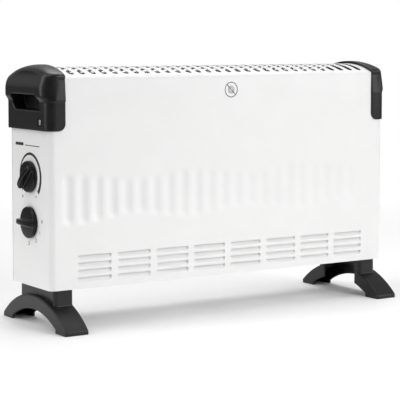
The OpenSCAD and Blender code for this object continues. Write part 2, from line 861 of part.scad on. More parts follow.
module control_bracket() {
    t = bracket_t;
    low = selector_z - 28;
    high = thermostat_z + 28;
    color(zinc) difference() {
        union() {
            block([bracket_x, -26, low], [bracket_x + t, 28, high]);
            for (z = [low, high - t]) block([-hw + sheet, -26, z], [bracket_x + t, 28, z + t]);
            for (z = [low - 10, high - t]) block([-hw + sheet, -26, z], [-hw + sheet + t, 28, z + t + 10]);
        }
        for (z = [thermostat_z, selector_z]) rod_x(bracket_x - 1, bracket_x + t + 1, 5.1, control_y, z);
    }
}

// housing of a rotary control with its threaded bush, around a running bore
module control_bush() {
    difference() {
        union() {
            rod_x(bracket_x - 5.5, bracket_x + 2, 5, control_y, 0);
            children();
        }
        rod_x(bracket_x - 7, bracket_x + 14, shaft_r + running_gap, control_y, 0);
    }
}

module thermostat_body() {
    color(ceramic) translate([0, 0, thermostat_z]) {
        control_bush()
            block([bracket_x + bracket_t, control_y - 14, -17], [bracket_x + 20, control_y + 14, 15]);
        for (y = [-8, 8]) block([bracket_x + 19, control_y + y - 3.2, -13],
            [bracket_x + 27, control_y + y + 3.2, -12.2]);
    }
}

module selector_switch() {
    color([0.25, 0.25, 0.27]) translate([0, 0, selector_z]) {
        control_bush() union() {
            rod_x(bracket_x + bracket_t, bracket_x + 22, 16, control_y, 0);
            block([bracket_x + bracket_t, control_y - 18, -8], [bracket_x + 8, control_y + 18, 8]);
        }
        for (a = [45 : 90 : 315]) translate([0, control_y, 0]) rotate([a, 0, 0])
            block([bracket_x + 21, 9, -0.4], [bracket_x + 29, 15, 0.4]);
    }
}

module control_shaft(z) {
    color(screw_grey) rod_x(-hw - shaft_reach, bracket_x + 13, shaft_r, control_y, z);
}

module thermostat_shaft() {
    control_shaft(thermostat_z);
}

module selector_shaft() {
    control_shaft(selector_z);
}

module shaft_nuts() {
    color(screw_grey) for (z = [thermostat_z, selector_z]) translate([bracket_x, control_y, z])
        rotate([0, -90, 0]) difference() {
            cylinder(h = nut_t, r = 8, $fn = 6);
            translate([0, 0, -1]) cylinder(h = nut_t + 2, r = 5);
        }
}

// knob: low domed disc with a grip bar, its pointer end towards the sketch's +x
module knob_solid() {
    r = knob_d / 2;
    bar_w = 9;
    difference() {
        union() {
            cylinder(h = disc_t - 1.2, r = r);
            cylinder(h = disc_t, r = r - 1.2);
            intersection() {
                translate([-r - 0.5, -bar_w / 2, 0]) cube([knob_d + 1, bar_w, bar_top]);
                cylinder(h = through, r = r);
            }
        }
        // hollow underside around the hub
        difference() {
            translate([0, 0, -1]) cylinder(h = 3.5, r = r - 2.2);
            translate([0, 0, -2]) cylinder(h = 6, r = 6);
        }
        translate([0, 0, -1]) cylinder(h = 1 + shaft_reach - knob_gap, r = shaft_r);
    }
}

module placed_knob(z, turn) {
    translate([knob_x, control_y, z]) rotate([turn, 0, 0]) rotate([0, -90, 0]) rotate(90) knob_solid();
}

module thermostat_knob() {
    color(black) placed_knob(thermostat_z, -pointer_drop);
}

module selector_knob() {
    color(black) placed_knob(selector_z, 180);
}

// ---- wiring ----

// strain-relief bush for the mains cable, clamped in the rear panel
module cable_gland() {
    flange_r = 10;
    color(black) difference() {
        union() {
            rod_y(hd - 9, hd + 4, gland_r, gland_x, gland_z);
            rod_y(hd, hd + 3, flange_r, gland_x, gland_z);
            rod_y(hd - sheet - 3, hd - sheet, gland_r + 1.6, gland_x, gland_z);
        }
        rod_y(hd - 20, hd + 10, cable_r, gland_x, gland_z);
    }
}

// three-pole terminal strip on the bottom plate
module terminal_block() {
    color(ceramic) difference() {
        union() {
            block([block_x - 1.5 * pole, block_y - 8, body_bottom + sheet],
                [block_x + 1.5 * pole, block_y + 8, block_z]);
            for (i = [-1 : 1]) rod_z(block_z - 1, block_z + 4, 3.6, block_x + i * pole, block_y);
        }
        for (i = [-1 : 1]) {
            rod_y(block_y - 9, block_y + 9, 1.9, block_x + i * pole, block_z - 4);
            rod_z(block_z - 2, block_z + 5, 2.2, block_x + i * pole, block_y);
        }
    }
}

// a point on the smooth curve through four neighbouring route points
function between(a, b, c, d, t) = 0.5 * (2 * b + (c - a) * t + (2 * a - 5 * b + 4 * c - d) * t * t
    + (3 * b - a - 3 * c + d) * t * t * t);
function smooth(p, n) = concat(
    [for (i = [0 : len(p) - 2]) for (k = [0 : n - 1])
        between(p[max(i - 1, 0)], p[i], p[i + 1], p[min(i + 2, len(p) - 1)], k / n)],
    [p[len(p) - 1]]);
function unit(v) = v / norm(v);
function heading(p, i) = unit(p[min(i + 1, len(p) - 1)] - p[max(i - 1, 0)]);
function square_to(n, t) = unit(n - (n * t) * t);
function frames(p) = [for (i = 0, n = square_to([0.3, 0.2, 0.9], heading(p, 0)); i < len(p);
    i = i + 1, n = square_to(n, heading(p, min(i, len(p) - 1)))) n];

module wire_along(route, r) {
    sides = 8;
    p = smooth(route, 4);
    n = frames(p);
    last = len(p) - 1;
    points = [for (i = [0 : last]) for (k = [0 : sides - 1])
        let (t = heading(p, i), b = cross(t, n[i]), a = 360 * k / sides)
            p[i] + r * (cos(a) * n[i] + sin(a) * b)];
    walls = [for (i = [0 : last - 1]) for (k = [0 : sides - 1]) for (half = [0, 1])
        let (a = i * sides + k, b = i * sides + (k + 1) % sides, c = b + sides, d = a + sides)
            half == 0 ? [a, d, c] : [a, c, b]];
    ends = [[for (k = [0 : sides - 1]) k], [for (k = [0 : sides - 1]) last * sides + sides - 1 - k]];
    polyhedron(points = points, faces = concat(walls, ends));
}

module live_wire() {
    color([0.38, 0.2, 0.1]) wire_along(live_route, wire_r);
}

module neutral_wires() {
    color([0.1, 0.25, 0.6]) {
        wire_along(neutral_lower_route, wire_r);
        wire_along(neutral_upper_route, wire_r);
    }
}

// from the thermostat to the selector, and from the selector to the heating wires
module switch_wires() {
    color([0.55, 0.1, 0.08]) {
        wire_along(selector_feed_route, wire_r);
        wire_along(selector_lower_route, wire_r);
        wire_along(selector_upper_route, wire_r);
    }
}

module fan_wires() {
    color([0.15, 0.15, 0.16]) {
        wire_along(fan_live_route, wire_r);
        wire_along(fan_neutral_route, wire_r);
    }
}

module earth_wire() {
    color([0.35, 0.55, 0.15]) wire_along(earth_route, wire_r);
}

// rubber ring in the partition, around the fan's wires
module wire_grommet() {
    color(black) difference() {
        union() {
            rod_x(partition_x - 2, partition_x + sheet + 2, grommet_r, grommet_y, grommet_z);
            rod_x(partition_x - 2, partition_x, grommet_r + 1.5, grommet_y, grommet_z);
            rod_x(partition_x + sheet, partition_x + sheet + 2, grommet_r + 1.5, grommet_y, grommet_z);
        }
        rod_x(partition_x - 3, partition_x + sheet + 3, grommet_r - 1.4, grommet_y, grommet_z);
    }
}

// earth screw on the bottom plate, over its ring tag
module earth_screw() {
    tag_z = body_bottom + sheet;
    color(brass) {
        translate([earth_x, earth_y, tag_z + 1]) screw(3.4, 2, 1.6, 1);
        rod_z(tag_z, tag_z + 1, 3.4, earth_x, earth_y);
        block([earth_x - 9, earth_y - 2, tag_z], [earth_x, earth_y + 2, tag_z + 1]);
        block([earth_x - 9, earth_y - 1.6, tag_z + 0.5], [earth_x - 5, earth_y + 1.6, tag_z + 3.4]);
    }
}

front_casing();
rear_panel();
top_grille();
bottom_plate();
left_handle();
right_handle();
handle_screws();
left_foot();
right_foot();
foot_screws();
rear_panel_screws();
partition_plate();
end_plate();
front_reflector();
rear_reflector();
fan_deck();
element_rails();
mica_boards();
lower_heating_coil();
upper_heating_coil();
ceramic_bushes();
element_pins();
thermal_cutout();
thermal_fuse();
motor_bracket();
motor_stator();
motor_winding();
motor_bearings();
motor_screws();
motor_rotor();
motor_shaft();
fan_impeller();
control_bracket();
thermostat_body();
thermostat_shaft();
thermostat_knob();
selector_switch();
selector_shaft();
selector_knob();
shaft_nuts();
terminal_block();
cable_gland();
wire_grommet();
earth_screw();
live_wire();
neutral_wires();
switch_wires();
fan_wires();
earth_wire();
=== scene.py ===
"""Fan convector heater: pressed sheet metal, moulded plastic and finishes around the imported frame."""
import json
import math

import bpy
import numpy as np
from mathutils import Matrix, Vector


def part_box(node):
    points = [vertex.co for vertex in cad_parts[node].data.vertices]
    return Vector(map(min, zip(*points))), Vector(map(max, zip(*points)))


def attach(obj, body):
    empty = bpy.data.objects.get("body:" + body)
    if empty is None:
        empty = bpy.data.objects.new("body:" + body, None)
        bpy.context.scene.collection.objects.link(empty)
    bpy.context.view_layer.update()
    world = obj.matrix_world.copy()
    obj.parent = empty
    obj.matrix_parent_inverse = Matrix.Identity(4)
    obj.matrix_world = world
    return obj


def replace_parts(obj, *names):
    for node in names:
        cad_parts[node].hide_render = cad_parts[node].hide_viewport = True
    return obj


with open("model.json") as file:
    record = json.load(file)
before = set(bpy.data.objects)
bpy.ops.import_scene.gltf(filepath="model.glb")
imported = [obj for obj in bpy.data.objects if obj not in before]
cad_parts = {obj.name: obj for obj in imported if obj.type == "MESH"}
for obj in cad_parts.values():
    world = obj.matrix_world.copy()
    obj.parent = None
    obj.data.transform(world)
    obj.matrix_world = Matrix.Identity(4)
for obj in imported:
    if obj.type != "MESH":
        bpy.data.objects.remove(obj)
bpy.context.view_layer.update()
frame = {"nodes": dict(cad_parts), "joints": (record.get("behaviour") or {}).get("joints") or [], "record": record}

# ---- sizes, in millimetres, taken from the frame where it holds them ----

MM = 0.001


def corners(node):
    """Lowest and highest corners of a CAD node, in millimetres."""
    return [Vector([round(c / MM, 2) for c in corner]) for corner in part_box(node)]


def joint_place(name):
    """Place of a joint's axis, in millimetres."""
    found = [joint for joint in frame["joints"] if joint["name"] == name]
    return Vector(found[0]["pos_m"]) / MM


CASE_LOW, CASE_HIGH = corners("front_casing")
HALF_W = CASE_HIGH.x
FRONT_Y = CASE_LOW.y
REAR_Y = corners("rear_panel")[1].y
BASE_Z = CASE_LOW.z
WALL_TOP = CASE_HIGH.z
CREST = corners("top_grille")[1].z
SHEET = 0.6

# arched top: a crest in the middle and rolled front and rear edges, a little above the walls' top
CHORD_UP = 1.5
RISE = CREST - WALL_TOP - CHORD_UP
ARCH_R = (REAR_Y ** 2 + RISE ** 2) / (2 * RISE)
ARCH_Z = CREST - ARCH_R
ROLL_R = 3.0
ROLL_Y = REAR_Y - ROLL_R
ROLL_Z = ARCH_Z + math.sqrt((ARCH_R - ROLL_R) ** 2 - ROLL_Y ** 2)
ROLL_TILT = math.asin(ROLL_Y / (ARCH_R - ROLL_R))
ARCH_HALF = ARCH_R * math.sin(ROLL_TILT)
SEAM_Z = ROLL_Z - 0.2
SEAM_GAP = 0.15

# inner flanges under the top's front and rear edges
SKIRT_HALF = HALF_W - 9.0
SKIRT_DROP = 12.0
SKIRT_LAP = 2.5
SKIRT_FIT = 0.1

# top slots: their count, pitch, the radius of their ends and half their length
SLOTS = 30
SLOT_PITCH = 15.5
SLOT_R = 3.9
SLOT_HALF = 45.5

# louvres in the front sheet, in columns and rows
LOUVRE_COLUMNS = 8
LOUVRE_PITCH_X = 56.8
LOUVRE_HALF = 24.25
LOUVRE_ROWS = 4
LOUVRE_PITCH_Z = 9.1
LOUVRE_TOP = 64.8
LOUVRE_H = 5.6
LOUVRE_DEPTH = 3.0
LOUVRE_END = 2.2

# flutes across the front: their ends follow a slow wave, and they get shallower from left to right
FLUTES = 22
FLUTE_PITCH = 20.8
FLUTE_SHIFT = -17.2
FLUTE_Z = 161.5
FLUTE_HALF_H = 30.0
FLUTE_HALF_W = 10.4
FLUTE_DEPTH = (2.8, 1.1, 0.4)
FLUTE_END = 12.0
WAVE_H = 4.5
WAVE_FLUTES = 8.2
WAVE_START = 0.5

# ends, rear flanges and holes of the casing's sheet
CORNER_R = 8.0
BEND_R = 2.0
FLANGE = 13.0
SHAFT_HOLE_R = 5.5
SCREW_HOLE_R = 2.1

# window in the casing's end round the finger pocket, and notches in the sheets under each handle
WINDOW = 3.0
NOTCH = 12.0
NOTCH_Z = 277.0

# handles: a cap over the casing's end, with rounder front corners and a raised band at the grip
CAP_X = HALF_W + 4.0
CAP_INNER, CAP_LOW = corners("right_handle")[0].x, corners("right_handle")[0].z
CAP_HALF = corners("right_handle")[1].y
GRIP_X = corners("right_handle")[1].x
CAP_RISE = 3.5
CAP_FRONT_R = 13.0
GRIP_FRONT_R = 18.0
GRIP_ROUND_Z = (276.0, 302.0)
CAP_REAR_R = 1.5
CAP_EDGE_R = 3.0
CAP_CORNER_R = 9.0
CAP_RIM_R = 0.8
CAP_FIT = 0.05

# grip band: where it swells out of the cap's end and sinks back, and its flare on the front and rear
BAND_RISE_Z = (280.0, 289.0)
BAND_FALL_Z = (296.0, 318.0)
FLARE_Z = (281.0, 282.5, 309.0, 311.5)
FLARE_OUT = (0.0, 1.2, -0.8, 0.0)
FLARE_SPARE = 0.3

# shoulder between the crown and the grip
SHOULDER_X = 245.0
SHOULDER_H = 10.0

# finger pocket and its lining, and the handle's screw
POCKET_Y = (-33.0, 41.0)
POCKET_Z = (270.5, 290.0)
POCKET_X = CAP_X - 17.5
POCKET_R = 10.0
POCKET_SLANT = 7.0
POCKET_BOTTOM_R = 2.0
POCKET_EDGE_R = 1.4
POCKET_WALL = 2.0
LINING_LAP = 1.0
HANDLE_SCREW = (-31.5, 256.4)
HANDLE_SCREW_SEAT = 2.0
HANDLE_SCREW_WELL_R = 4.5

# feet: an arched shell on two toes, with a neck up to the casing
FOOT_LOW, FOOT_HIGH = corners("right_foot")
FOOT_WALL = 3.0
FOOT_ARCH = 39.0
FOOT_LIP = 5.0
FOOT_GAP = 21.0
FOOT_GAP_R = 112.7
FOOT_PAD = 59.0
FOOT_NECK = 47.0
FOOT_STEP = 5.75
FOOT_OPEN = 35.0
FOOT_RIM_R = 0.4
FOOT_SIDE_R = 1.6
FOOT_GAP_EDGE_R = 0.8
FOOT_NECK_R = 4.5
FOOT_FILLET_R = 0.6
FOOT_SCREW_Y = 40.0
FOOT_SCREW_WELL_R = 4.0

# controls: a low domed disc with a tapered bar across it, over a hollow underside and a boss
THERMOSTAT = joint_place("thermostat_turn")
SELECTOR = joint_place("selector_turn")
KNOB_LOW, KNOB_HIGH = corners("thermostat_knob")
KNOB_R = 19.75
KNOB_EDGE_R = 1.5
KNOB_WALL = 2.2
KNOB_HOLLOW = 2.5
DISC_H = 5.4
DISC_DOME = 0.7
BAR_HALF = 3.5
BAR_TAPER = 0.35
BAR_DRAFT = 0.08
BAR_FALL = 2.5
BAR_INSET = 0.1
BAR_FILLET_R = 1.3
BOSS_R = 6.0
BORE_R = 3.0
BORE_H = 8.4
POINTER_DROP = 42.0

# wound heating wires
COIL_Y = 24.0
COIL_TURN = 8.0
COIL_X = (-199.0, 219.0)
COIL_LEAD = 7.0
COIL_R = 2.1
COIL_PITCH = 4.0
COIL_STEPS = 8
WIRE_R = 0.35

# grid cells of the moulded pieces
MOULD_CELL = 1.0
KNOB_CELL = 0.6
SCREW_CELL = 0.3

# cross recess and thread of the screws
CROSS_HALF = 0.5
CROSS_REACH = 0.55
CROSS_DEPTH = 1.3
THREAD_DEPTH = 0.15
THREADS_PER_MM = 0.9

# screws: radius and height of the head, radius and length of the shank
HANDLE_SCREW_SIZES = (3.5, 1.6, 1.9, 8)
REAR_SCREW_SIZES = (3.4, 1.8, 1.6, 6)
REAR_SCREW_IN = 7.0
REAR_SCREW_Z = (70, 125, 180, 235)


# ---- mesh helpers ----

def new_piece(name, data, slot, body="casing", ink=None):
    """Links a new object with its slot's finish, or an ink, and makes it ride on a body."""
    data.materials.append(ink or FINISHES[slot])
    piece = bpy.data.objects.new(name, data)
    bpy.context.scene.collection.objects.link(piece)
    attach(piece, body)
    return piece


def mesh_piece(name, points, faces, slot, body="casing", sharp=38.0, ink=None):
    """A piece from points in millimetres, smooth except at edges sharper than an angle."""
    mesh = bpy.data.meshes.new(name)
    mesh.from_pydata((np.asarray(points, float) * MM).tolist(), [], faces)
    mesh.validate()
    mesh.shade_smooth()
    mesh.set_sharp_from_angle(angle=math.radians(sharp))
    return new_piece(name, mesh, slot, body, ink)


def thicken(piece, thickness):
    """Gives a one-sided sheet its thickness inward from its outer face, with crisp cut edges."""
    mesh = piece.data
    edge_of_corner = np.zeros(len(mesh.loops), int)
    mesh.loops.foreach_get("edge_index", edge_of_corner)
    cut = np.bincount(edge_of_corner, minlength=len(mesh.edges)) == 1
    for i in np.flatnonzero(cut):
        mesh.edges[i].use_edge_sharp = True
    modifier = piece.modifiers.new("thickness", "SOLIDIFY")
    modifier.thickness = thickness * MM
    modifier.offset = -1
    modifier.use_even_offset = True
    flat = piece.modifiers.new("flat_normals", "WEIGHTED_NORMAL")
    flat.keep_sharp = True
    return piece


def grid_faces(us, vs, place, keep):
    """Quads between the lines us and vs. place(u, v, mid_u, mid_v) gives each cell's corners, so that
    neighbouring cells come apart where they place a shared corner differently."""
    u0, v0 = np.meshgrid(us[:-1], vs[:-1], indexing="ij")
    u1, v1 = np.meshgrid(us[1:], vs[1:], indexing="ij")
    mid_u, mid_v = (u0 + u1) / 2, (v0 + v1) / 2
    kept = keep(mid_u, mid_v)
    u = np.stack([u0, u1, u1, u0], -1)[kept]
    v = np.stack([v0, v0, v1, v1], -1)[kept]
    placed = place(u, v, mid_u[kept][:, None] + 0 * u, mid_v[kept][:, None] + 0 * v)
    rounded = np.round(placed.reshape(-1, 3), 3) + 0.0
    points, index = np.unique(rounded, axis=0, return_inverse=True)
    quads = index.reshape(-1, 4).tolist()
    faces = [list(dict.fromkeys(quad)) for quad in quads]
    return points, [face for face in faces if len(face) > 2]


def joined(*parts):
    """Several (points, faces) pairs as one."""
    points, faces = [], []
    for part_points, part_faces in parts:
        start = sum(len(p) for p in points)
        points.append(np.asarray(part_points, float))
        faces += [[i + start for i in face] for face in part_faces]
    return np.concatenate(points), faces


def mirrored(points, faces):
    """The same shape across the middle of the heater."""
    return np.asarray(points) * [-1, 1, 1], [face[::-1] for face in faces]


def follow(track, s):
    """Places and headings at lengths s along a track of (length, turn) stretches from the origin."""
    a = b = heading = 0 * s
    left = s
    for length, turn in track:
        part = np.clip(left, 0, length)
        bend = turn * part / length
        if turn:
            radius = length / turn
            a = a + radius * (np.sin(heading + bend) - np.sin(heading))
            b = b + radius * (np.cos(heading) - np.cos(heading + bend))
        else:
            a = a + part * np.cos(heading)
            b = b + part * np.sin(heading)
        heading = heading + bend
        left = left - part
    return a, b, heading


def smooth(t):
    """Soft step from 0 at t = 0 to 1 at t = 1."""
    t = np.clip(t, 0, 1)
    return t * t * (3 - 2 * t)


def rise_over(value, stretch):
    """Soft step from 0 at the start of a stretch to 1 at its end."""
    return smooth((value - stretch[0]) / (stretch[1] - stretch[0]))


def lines(*groups):
    """Grid lines from several groups of places, in order and without repeats."""
    return np.unique(np.round(np.concatenate([np.ravel(group) for group in groups]), 3))


# ---- solid shapes from distance fields, for moulded pieces ----

def round_and(a, b, r):
    """Where both shapes are, with the edge between them rounded."""
    return np.minimum(np.maximum(a, b), -r) + np.hypot(np.maximum(a + r, 0), np.maximum(b + r, 0))


def round_or(a, b, r):
    """Where either shape is, with a fillet between them."""
    return -round_and(-a, -b, r)


def round_cut(a, b, r):
    """The first shape without the second, with the cut's edge rounded."""
    return round_and(a, -b, r)


def span(value, low, high):
    """Distance outside a range."""
    return np.maximum(low - value, value - high)


def moulded(field, low, high, cell):
    """Points and faces of the surface where a distance field is zero: a net of one point in each cell
    that the surface crosses, moved onto the surface itself."""
    low = np.asarray(low, float) - 1.6 * cell
    counts = np.ceil((np.asarray(high, float) - low) / cell).astype(int) + 3
    axes = [low[k] + cell * np.arange(counts[k]) for k in range(3)]
    inside = field(*np.meshgrid(*axes, indexing="ij")) < 0
    corner_count = sum(
        inside[a:a + counts[0] - 1, b:b + counts[1] - 1, c:c + counts[2] - 1].astype(int)
        for a in (0, 1) for b in (0, 1) for c in (0, 1)
    )
    mixed = (corner_count > 0) & (corner_count < 8)
    ids = np.full(mixed.shape, -1)
    ids[mixed] = np.arange(mixed.sum())
    points = low + (np.argwhere(mixed) + 0.5) * cell
    for _ in range(6):
        distance = field(*points.T)
        slope = gradient(field, points, cell * 0.05)
        steepness = np.maximum((slope ** 2).sum(1), 0.2)
        points = points - np.clip(distance / steepness, -cell, cell)[:, None] * slope
    return points, net_quads(inside, ids)


def net_quads(inside, ids):
    """Faces of a surface net: one round each grid edge that the surface crosses."""
    quads = []
    for k in range(3):
        i, j = (k + 1) % 3, (k + 2) % 3
        change = np.diff(inside.astype(np.int8), axis=k)
        edges = np.argwhere(change)
        rising = change[tuple(edges.T)] > 0
        ring = []
        for di, dj in ((-1, -1), (0, -1), (0, 0), (-1, 0)):
            cells = edges.copy()
            cells[:, i] += di
            cells[:, j] += dj
            ring.append(ids[tuple(cells.T)])
        quad = np.stack(ring, 1)
        quad[rising] = quad[rising][:, ::-1]
        quads.append(quad)
    return np.concatenate(quads).tolist()


def gradient(field, points, step):
    """Slope of a field at points, by central differences."""
    slopes = []
    for axis in np.eye(3) * step:
        slopes.append((field(*(points + axis).T) - field(*(points - axis).T)) / (2 * step))
    return np.stack(slopes, 1)


# ---- finishes ----

def add_node(tree, kind, **settings):
    """A shader node with some of its properties or inputs set."""
    node = tree.nodes.new(kind)
    for key, value in settings.items():
        if key in node.inputs:
            node.inputs[key].default_value = value
        else:
            setattr(node, key, value)
    return node


def finish(name, dark, light, rough, metallic=0.0, scale=40.0, stretch=(1, 1, 1), grain=900.0,
           bump=0.15, height=0.00005, specular=0.5, coat=0.0, cells=False):
    """A procedural finish: soft colour variation between two colours, uneven gloss and a fine grain."""
    material = bpy.data.materials.new(name)
    material.use_nodes = True
    tree = material.node_tree
    shader = tree.nodes["Principled BSDF"]
    place = add_node(tree, "ShaderNodeTexCoord")
    mapping = add_node(tree, "ShaderNodeMapping", Scale=stretch)
    tree.links.new(place.outputs["Object"], mapping.inputs["Vector"])
    if cells:
        cloud = add_node(tree, "ShaderNodeTexVoronoi", Scale=scale)
        value = cloud.outputs["Color"]
    else:
        cloud = add_node(tree, "ShaderNodeTexNoise", Scale=scale, Detail=4.0, Roughness=0.6)
        value = cloud.outputs["Fac"]
    tree.links.new(mapping.outputs["Vector"], cloud.inputs["Vector"])
    ramp = add_node(tree, "ShaderNodeValToRGB")
    ramp.color_ramp.elements[0].position = 0.3
    ramp.color_ramp.elements[0].color = (*dark, 1)
    ramp.color_ramp.elements[1].position = 0.7
    ramp.color_ramp.elements[1].color = (*light, 1)
    tree.links.new(value, ramp.inputs["Fac"])
    tree.links.new(ramp.outputs["Color"], shader.inputs["Base Color"])
    gloss = add_node(tree, "ShaderNodeMapRange")
    gloss.inputs["To Min"].default_value = rough[0]
    gloss.inputs["To Max"].default_value = rough[1]
    tree.links.new(value, gloss.inputs["Value"])
    tree.links.new(gloss.outputs["Result"], shader.inputs["Roughness"])
    fine = add_node(tree, "ShaderNodeTexNoise", Scale=grain, Detail=2.0)
    relief = add_node(tree, "ShaderNodeBump", Strength=bump, Distance=height)
    tree.links.new(mapping.outputs["Vector"], fine.inputs["Vector"])
    tree.links.new(fine.outputs["Fac"], relief.inputs["Height"])
    tree.links.new(relief.outputs["Normal"], shader.inputs["Normal"])
    shader.inputs["Metallic"].default_value = metallic
    shader.inputs["Specular IOR Level"].default_value = specular
    shader.inputs["Coat Weight"].default_value = coat
    return material


def grey(value):
    """A colour without a hue."""
    return (value, value, value)


# a finish for each of the record's material slots
FINISHES = {
    "white_steel": finish("white_powder_coat", (0.83, 0.83, 0.826), (0.85, 0.85, 0.846), (0.3, 0.36),
                          scale=25, grain=1100, bump=0.12, height=0.00004),
    "black_plastic": finish("black_satin_plastic", grey(0.006), grey(0.009), (0.3, 0.38),
                            scale=60, grain=2600, bump=0.2, height=0.00003, specular=0.38),
    "knob_plastic": finish("knob_plastic", grey(0.003), grey(0.005), (0.2, 0.28),
                           scale=80, grain=3000, bump=0.15, height=0.00002, specular=0.28),
    "dark_plastic": finish("dark_plastic", grey(0.03), grey(0.045), (0.4, 0.5), grain=2000),
    "plated_steel": finish("plated_steel", grey(0.62), (0.72, 0.72, 0.7), (0.24, 0.34), metallic=1.0,
                           scale=160, grain=2500, bump=0.1),
    "galvanised_steel": finish("galvanised_steel", (0.62, 0.64, 0.66), (0.8, 0.82, 0.84), (0.32, 0.5),
                               metallic=1.0, scale=90, cells=True, grain=700, bump=0.08),
    "lamination_steel": finish("lamination_steel", grey(0.3), grey(0.45), (0.35, 0.55), metallic=1.0,
                               scale=6, stretch=(1, 1, 220), grain=300, bump=0.5, height=0.0001),
    "mica": finish("mica_board", (0.42, 0.3, 0.16), (0.66, 0.52, 0.33), (0.3, 0.55), scale=120,
                   cells=True, grain=500, bump=0.3),
    "resistance_wire": finish("resistance_wire", (0.24, 0.2, 0.17), (0.42, 0.36, 0.31), (0.35, 0.5),
                              metallic=1.0, scale=220),
    "ceramic": finish("ceramic", (0.76, 0.73, 0.66), (0.86, 0.83, 0.77), (0.25, 0.4), scale=90,
                      coat=0.3),
    "brass": finish("brass", (0.6, 0.42, 0.16), (0.78, 0.58, 0.28), (0.22, 0.36), metallic=1.0,
                    scale=140),
    "phenolic": finish("phenolic", (0.018, 0.016, 0.015), (0.035, 0.03, 0.028), (0.3, 0.42), scale=120),
    "enamelled_copper": finish("enamelled_copper", (0.36, 0.12, 0.05), (0.62, 0.27, 0.12),
                               (0.22, 0.34), metallic=0.85, scale=9, stretch=(1, 260, 1), grain=1200,
                               bump=0.8, height=0.0003, coat=0.4),
    "black_rubber": finish("black_rubber", grey(0.015), grey(0.025), (0.55, 0.7), grain=1800, bump=0.3),
    "brown_insulation": finish("brown_insulation", (0.09, 0.04, 0.02), (0.13, 0.06, 0.03),
                               (0.35, 0.45)),
    "blue_insulation": finish("blue_insulation", (0.02, 0.08, 0.3), (0.03, 0.12, 0.4), (0.35, 0.45)),
    "red_insulation": finish("red_insulation", (0.35, 0.02, 0.015), (0.48, 0.04, 0.03), (0.35, 0.45)),
    "grey_insulation": finish("grey_insulation", grey(0.12), grey(0.18), (0.35, 0.45)),
    "green_insulation": finish("green_insulation", (0.1, 0.25, 0.03), (0.45, 0.5, 0.05), (0.35, 0.45),
                               scale=30, stretch=(0.2, 1, 1)),
}
# inks of the printed marks
PRINT = finish("screen_print", grey(0.015), grey(0.02), (0.45, 0.55), scale=200)
PALE_PRINT = finish("pale_screen_print", grey(0.1), grey(0.13), (0.45, 0.55), scale=200)
FAINT_PRINT = finish("faint_screen_print", grey(0.48), grey(0.56), (0.45, 0.55), scale=200)


def dress_frame():
    """Gives every carried-over CAD node the finish of its material slot."""
    for part in frame["record"]["subparts"]:
        node = frame["nodes"][part["node"]]
        for place in node.material_slots:
            place.material = FINISHES[part["material_slot"]]


# ---- casing sheets ----

def louvre_lines_x():
    """Grid lines across each louvre, close together on its end walls."""
    steps = np.array([0, 0.25, 0.5, 0.75, 1]) * LOUVRE_END
    half = np.concatenate([LOUVRE_HALF - steps, [LOUVRE_HALF / 2, 0]])
    centres = (np.arange(LOUVRE_COLUMNS) - (LOUVRE_COLUMNS - 1) / 2) * LOUVRE_PITCH_X
    return np.concatenate([centres + side * h for side in (-1, 1) for h in half])


def louvre_lines_z():
    """Grid lines up each louvre, from its flush lower edge to its open upper edge."""
    steps = np.array([0, 0.2, 0.45, 0.7, 0.88, 1]) * LOUVRE_H
    tops = LOUVRE_TOP + np.arange(LOUVRE_ROWS) * LOUVRE_PITCH_Z
    return np.concatenate([tops - LOUVRE_H + step for step in steps])


def louvre_depth(x, z, mid_x, mid_z):
    """Inward press of the louvres: deepest along the torn upper edge, flush at the bottom and ends."""
    column = np.clip(np.round(mid_x / LOUVRE_PITCH_X - 0.5) + 0.5,
                     -(LOUVRE_COLUMNS - 1) / 2, (LOUVRE_COLUMNS - 1) / 2)
    row = np.clip(np.ceil((mid_z - LOUVRE_TOP) / LOUVRE_PITCH_Z), 0, LOUVRE_ROWS - 1)
    from_end = LOUVRE_HALF - np.abs(x - column * LOUVRE_PITCH_X)
    up = (z - (LOUVRE_TOP + row * LOUVRE_PITCH_Z - LOUVRE_H)) / LOUVRE_H
    pressed = (np.abs(mid_x - column * LOUVRE_PITCH_X) < LOUVRE_HALF) & (
        np.abs(mid_z - (LOUVRE_TOP + row * LOUVRE_PITCH_Z - LOUVRE_H / 2)) < LOUVRE_H / 2)
    depth = LOUVRE_DEPTH * smooth(from_end / LOUVRE_END) * np.sin(np.clip(up, 0, 1) * math.pi / 2)
    return np.where(pressed, depth, 0)


def flute_place(i):
    """Place of flute i along the casing."""
    return (i - (FLUTES - 1) / 2) * FLUTE_PITCH + FLUTE_SHIFT


def flute_depth(x, z):
    """Inward press of the flutes, whose ends follow a slow wave."""
    i = np.clip(np.round((x - FLUTE_SHIFT) / FLUTE_PITCH + (FLUTES - 1) / 2), 0, FLUTES - 1)
    half = FLUTE_HALF_H + WAVE_H * np.cos(2 * math.pi * (i - WAVE_START) / WAVE_FLUTES)
    ends = smooth((half - np.abs(z - FLUTE_Z)) / FLUTE_END)
    across = np.clip(np.abs(x - flute_place(i)) / FLUTE_HALF_W, 0, 1)
    depth = np.interp(x, [-HALF_W, 0, HALF_W], FLUTE_DEPTH)
    return depth * ends * (0.5 + 0.5 * np.cos(math.pi * across))


# the sheet's outline in plan from the middle of the front: stretches of a length and a turn
FRONT_LEN = HALF_W - CORNER_R
CORNER_LEN = CORNER_R * math.pi / 2
END_LEN = REAR_Y - SHEET - BEND_R - (FRONT_Y + CORNER_R)
BEND_LEN = BEND_R * math.pi / 2
CASING_TRACK = [(FRONT_LEN, 0), (CORNER_LEN, math.pi / 2), (END_LEN, 0), (BEND_LEN, math.pi / 2),
                (FLANGE - BEND_R, 0)]
END_START = FRONT_LEN + CORNER_LEN


def along_end(y):
    """Length along the casing's sheet where it passes a depth y on its end."""
    return END_START + y - (FRONT_Y + CORNER_R)


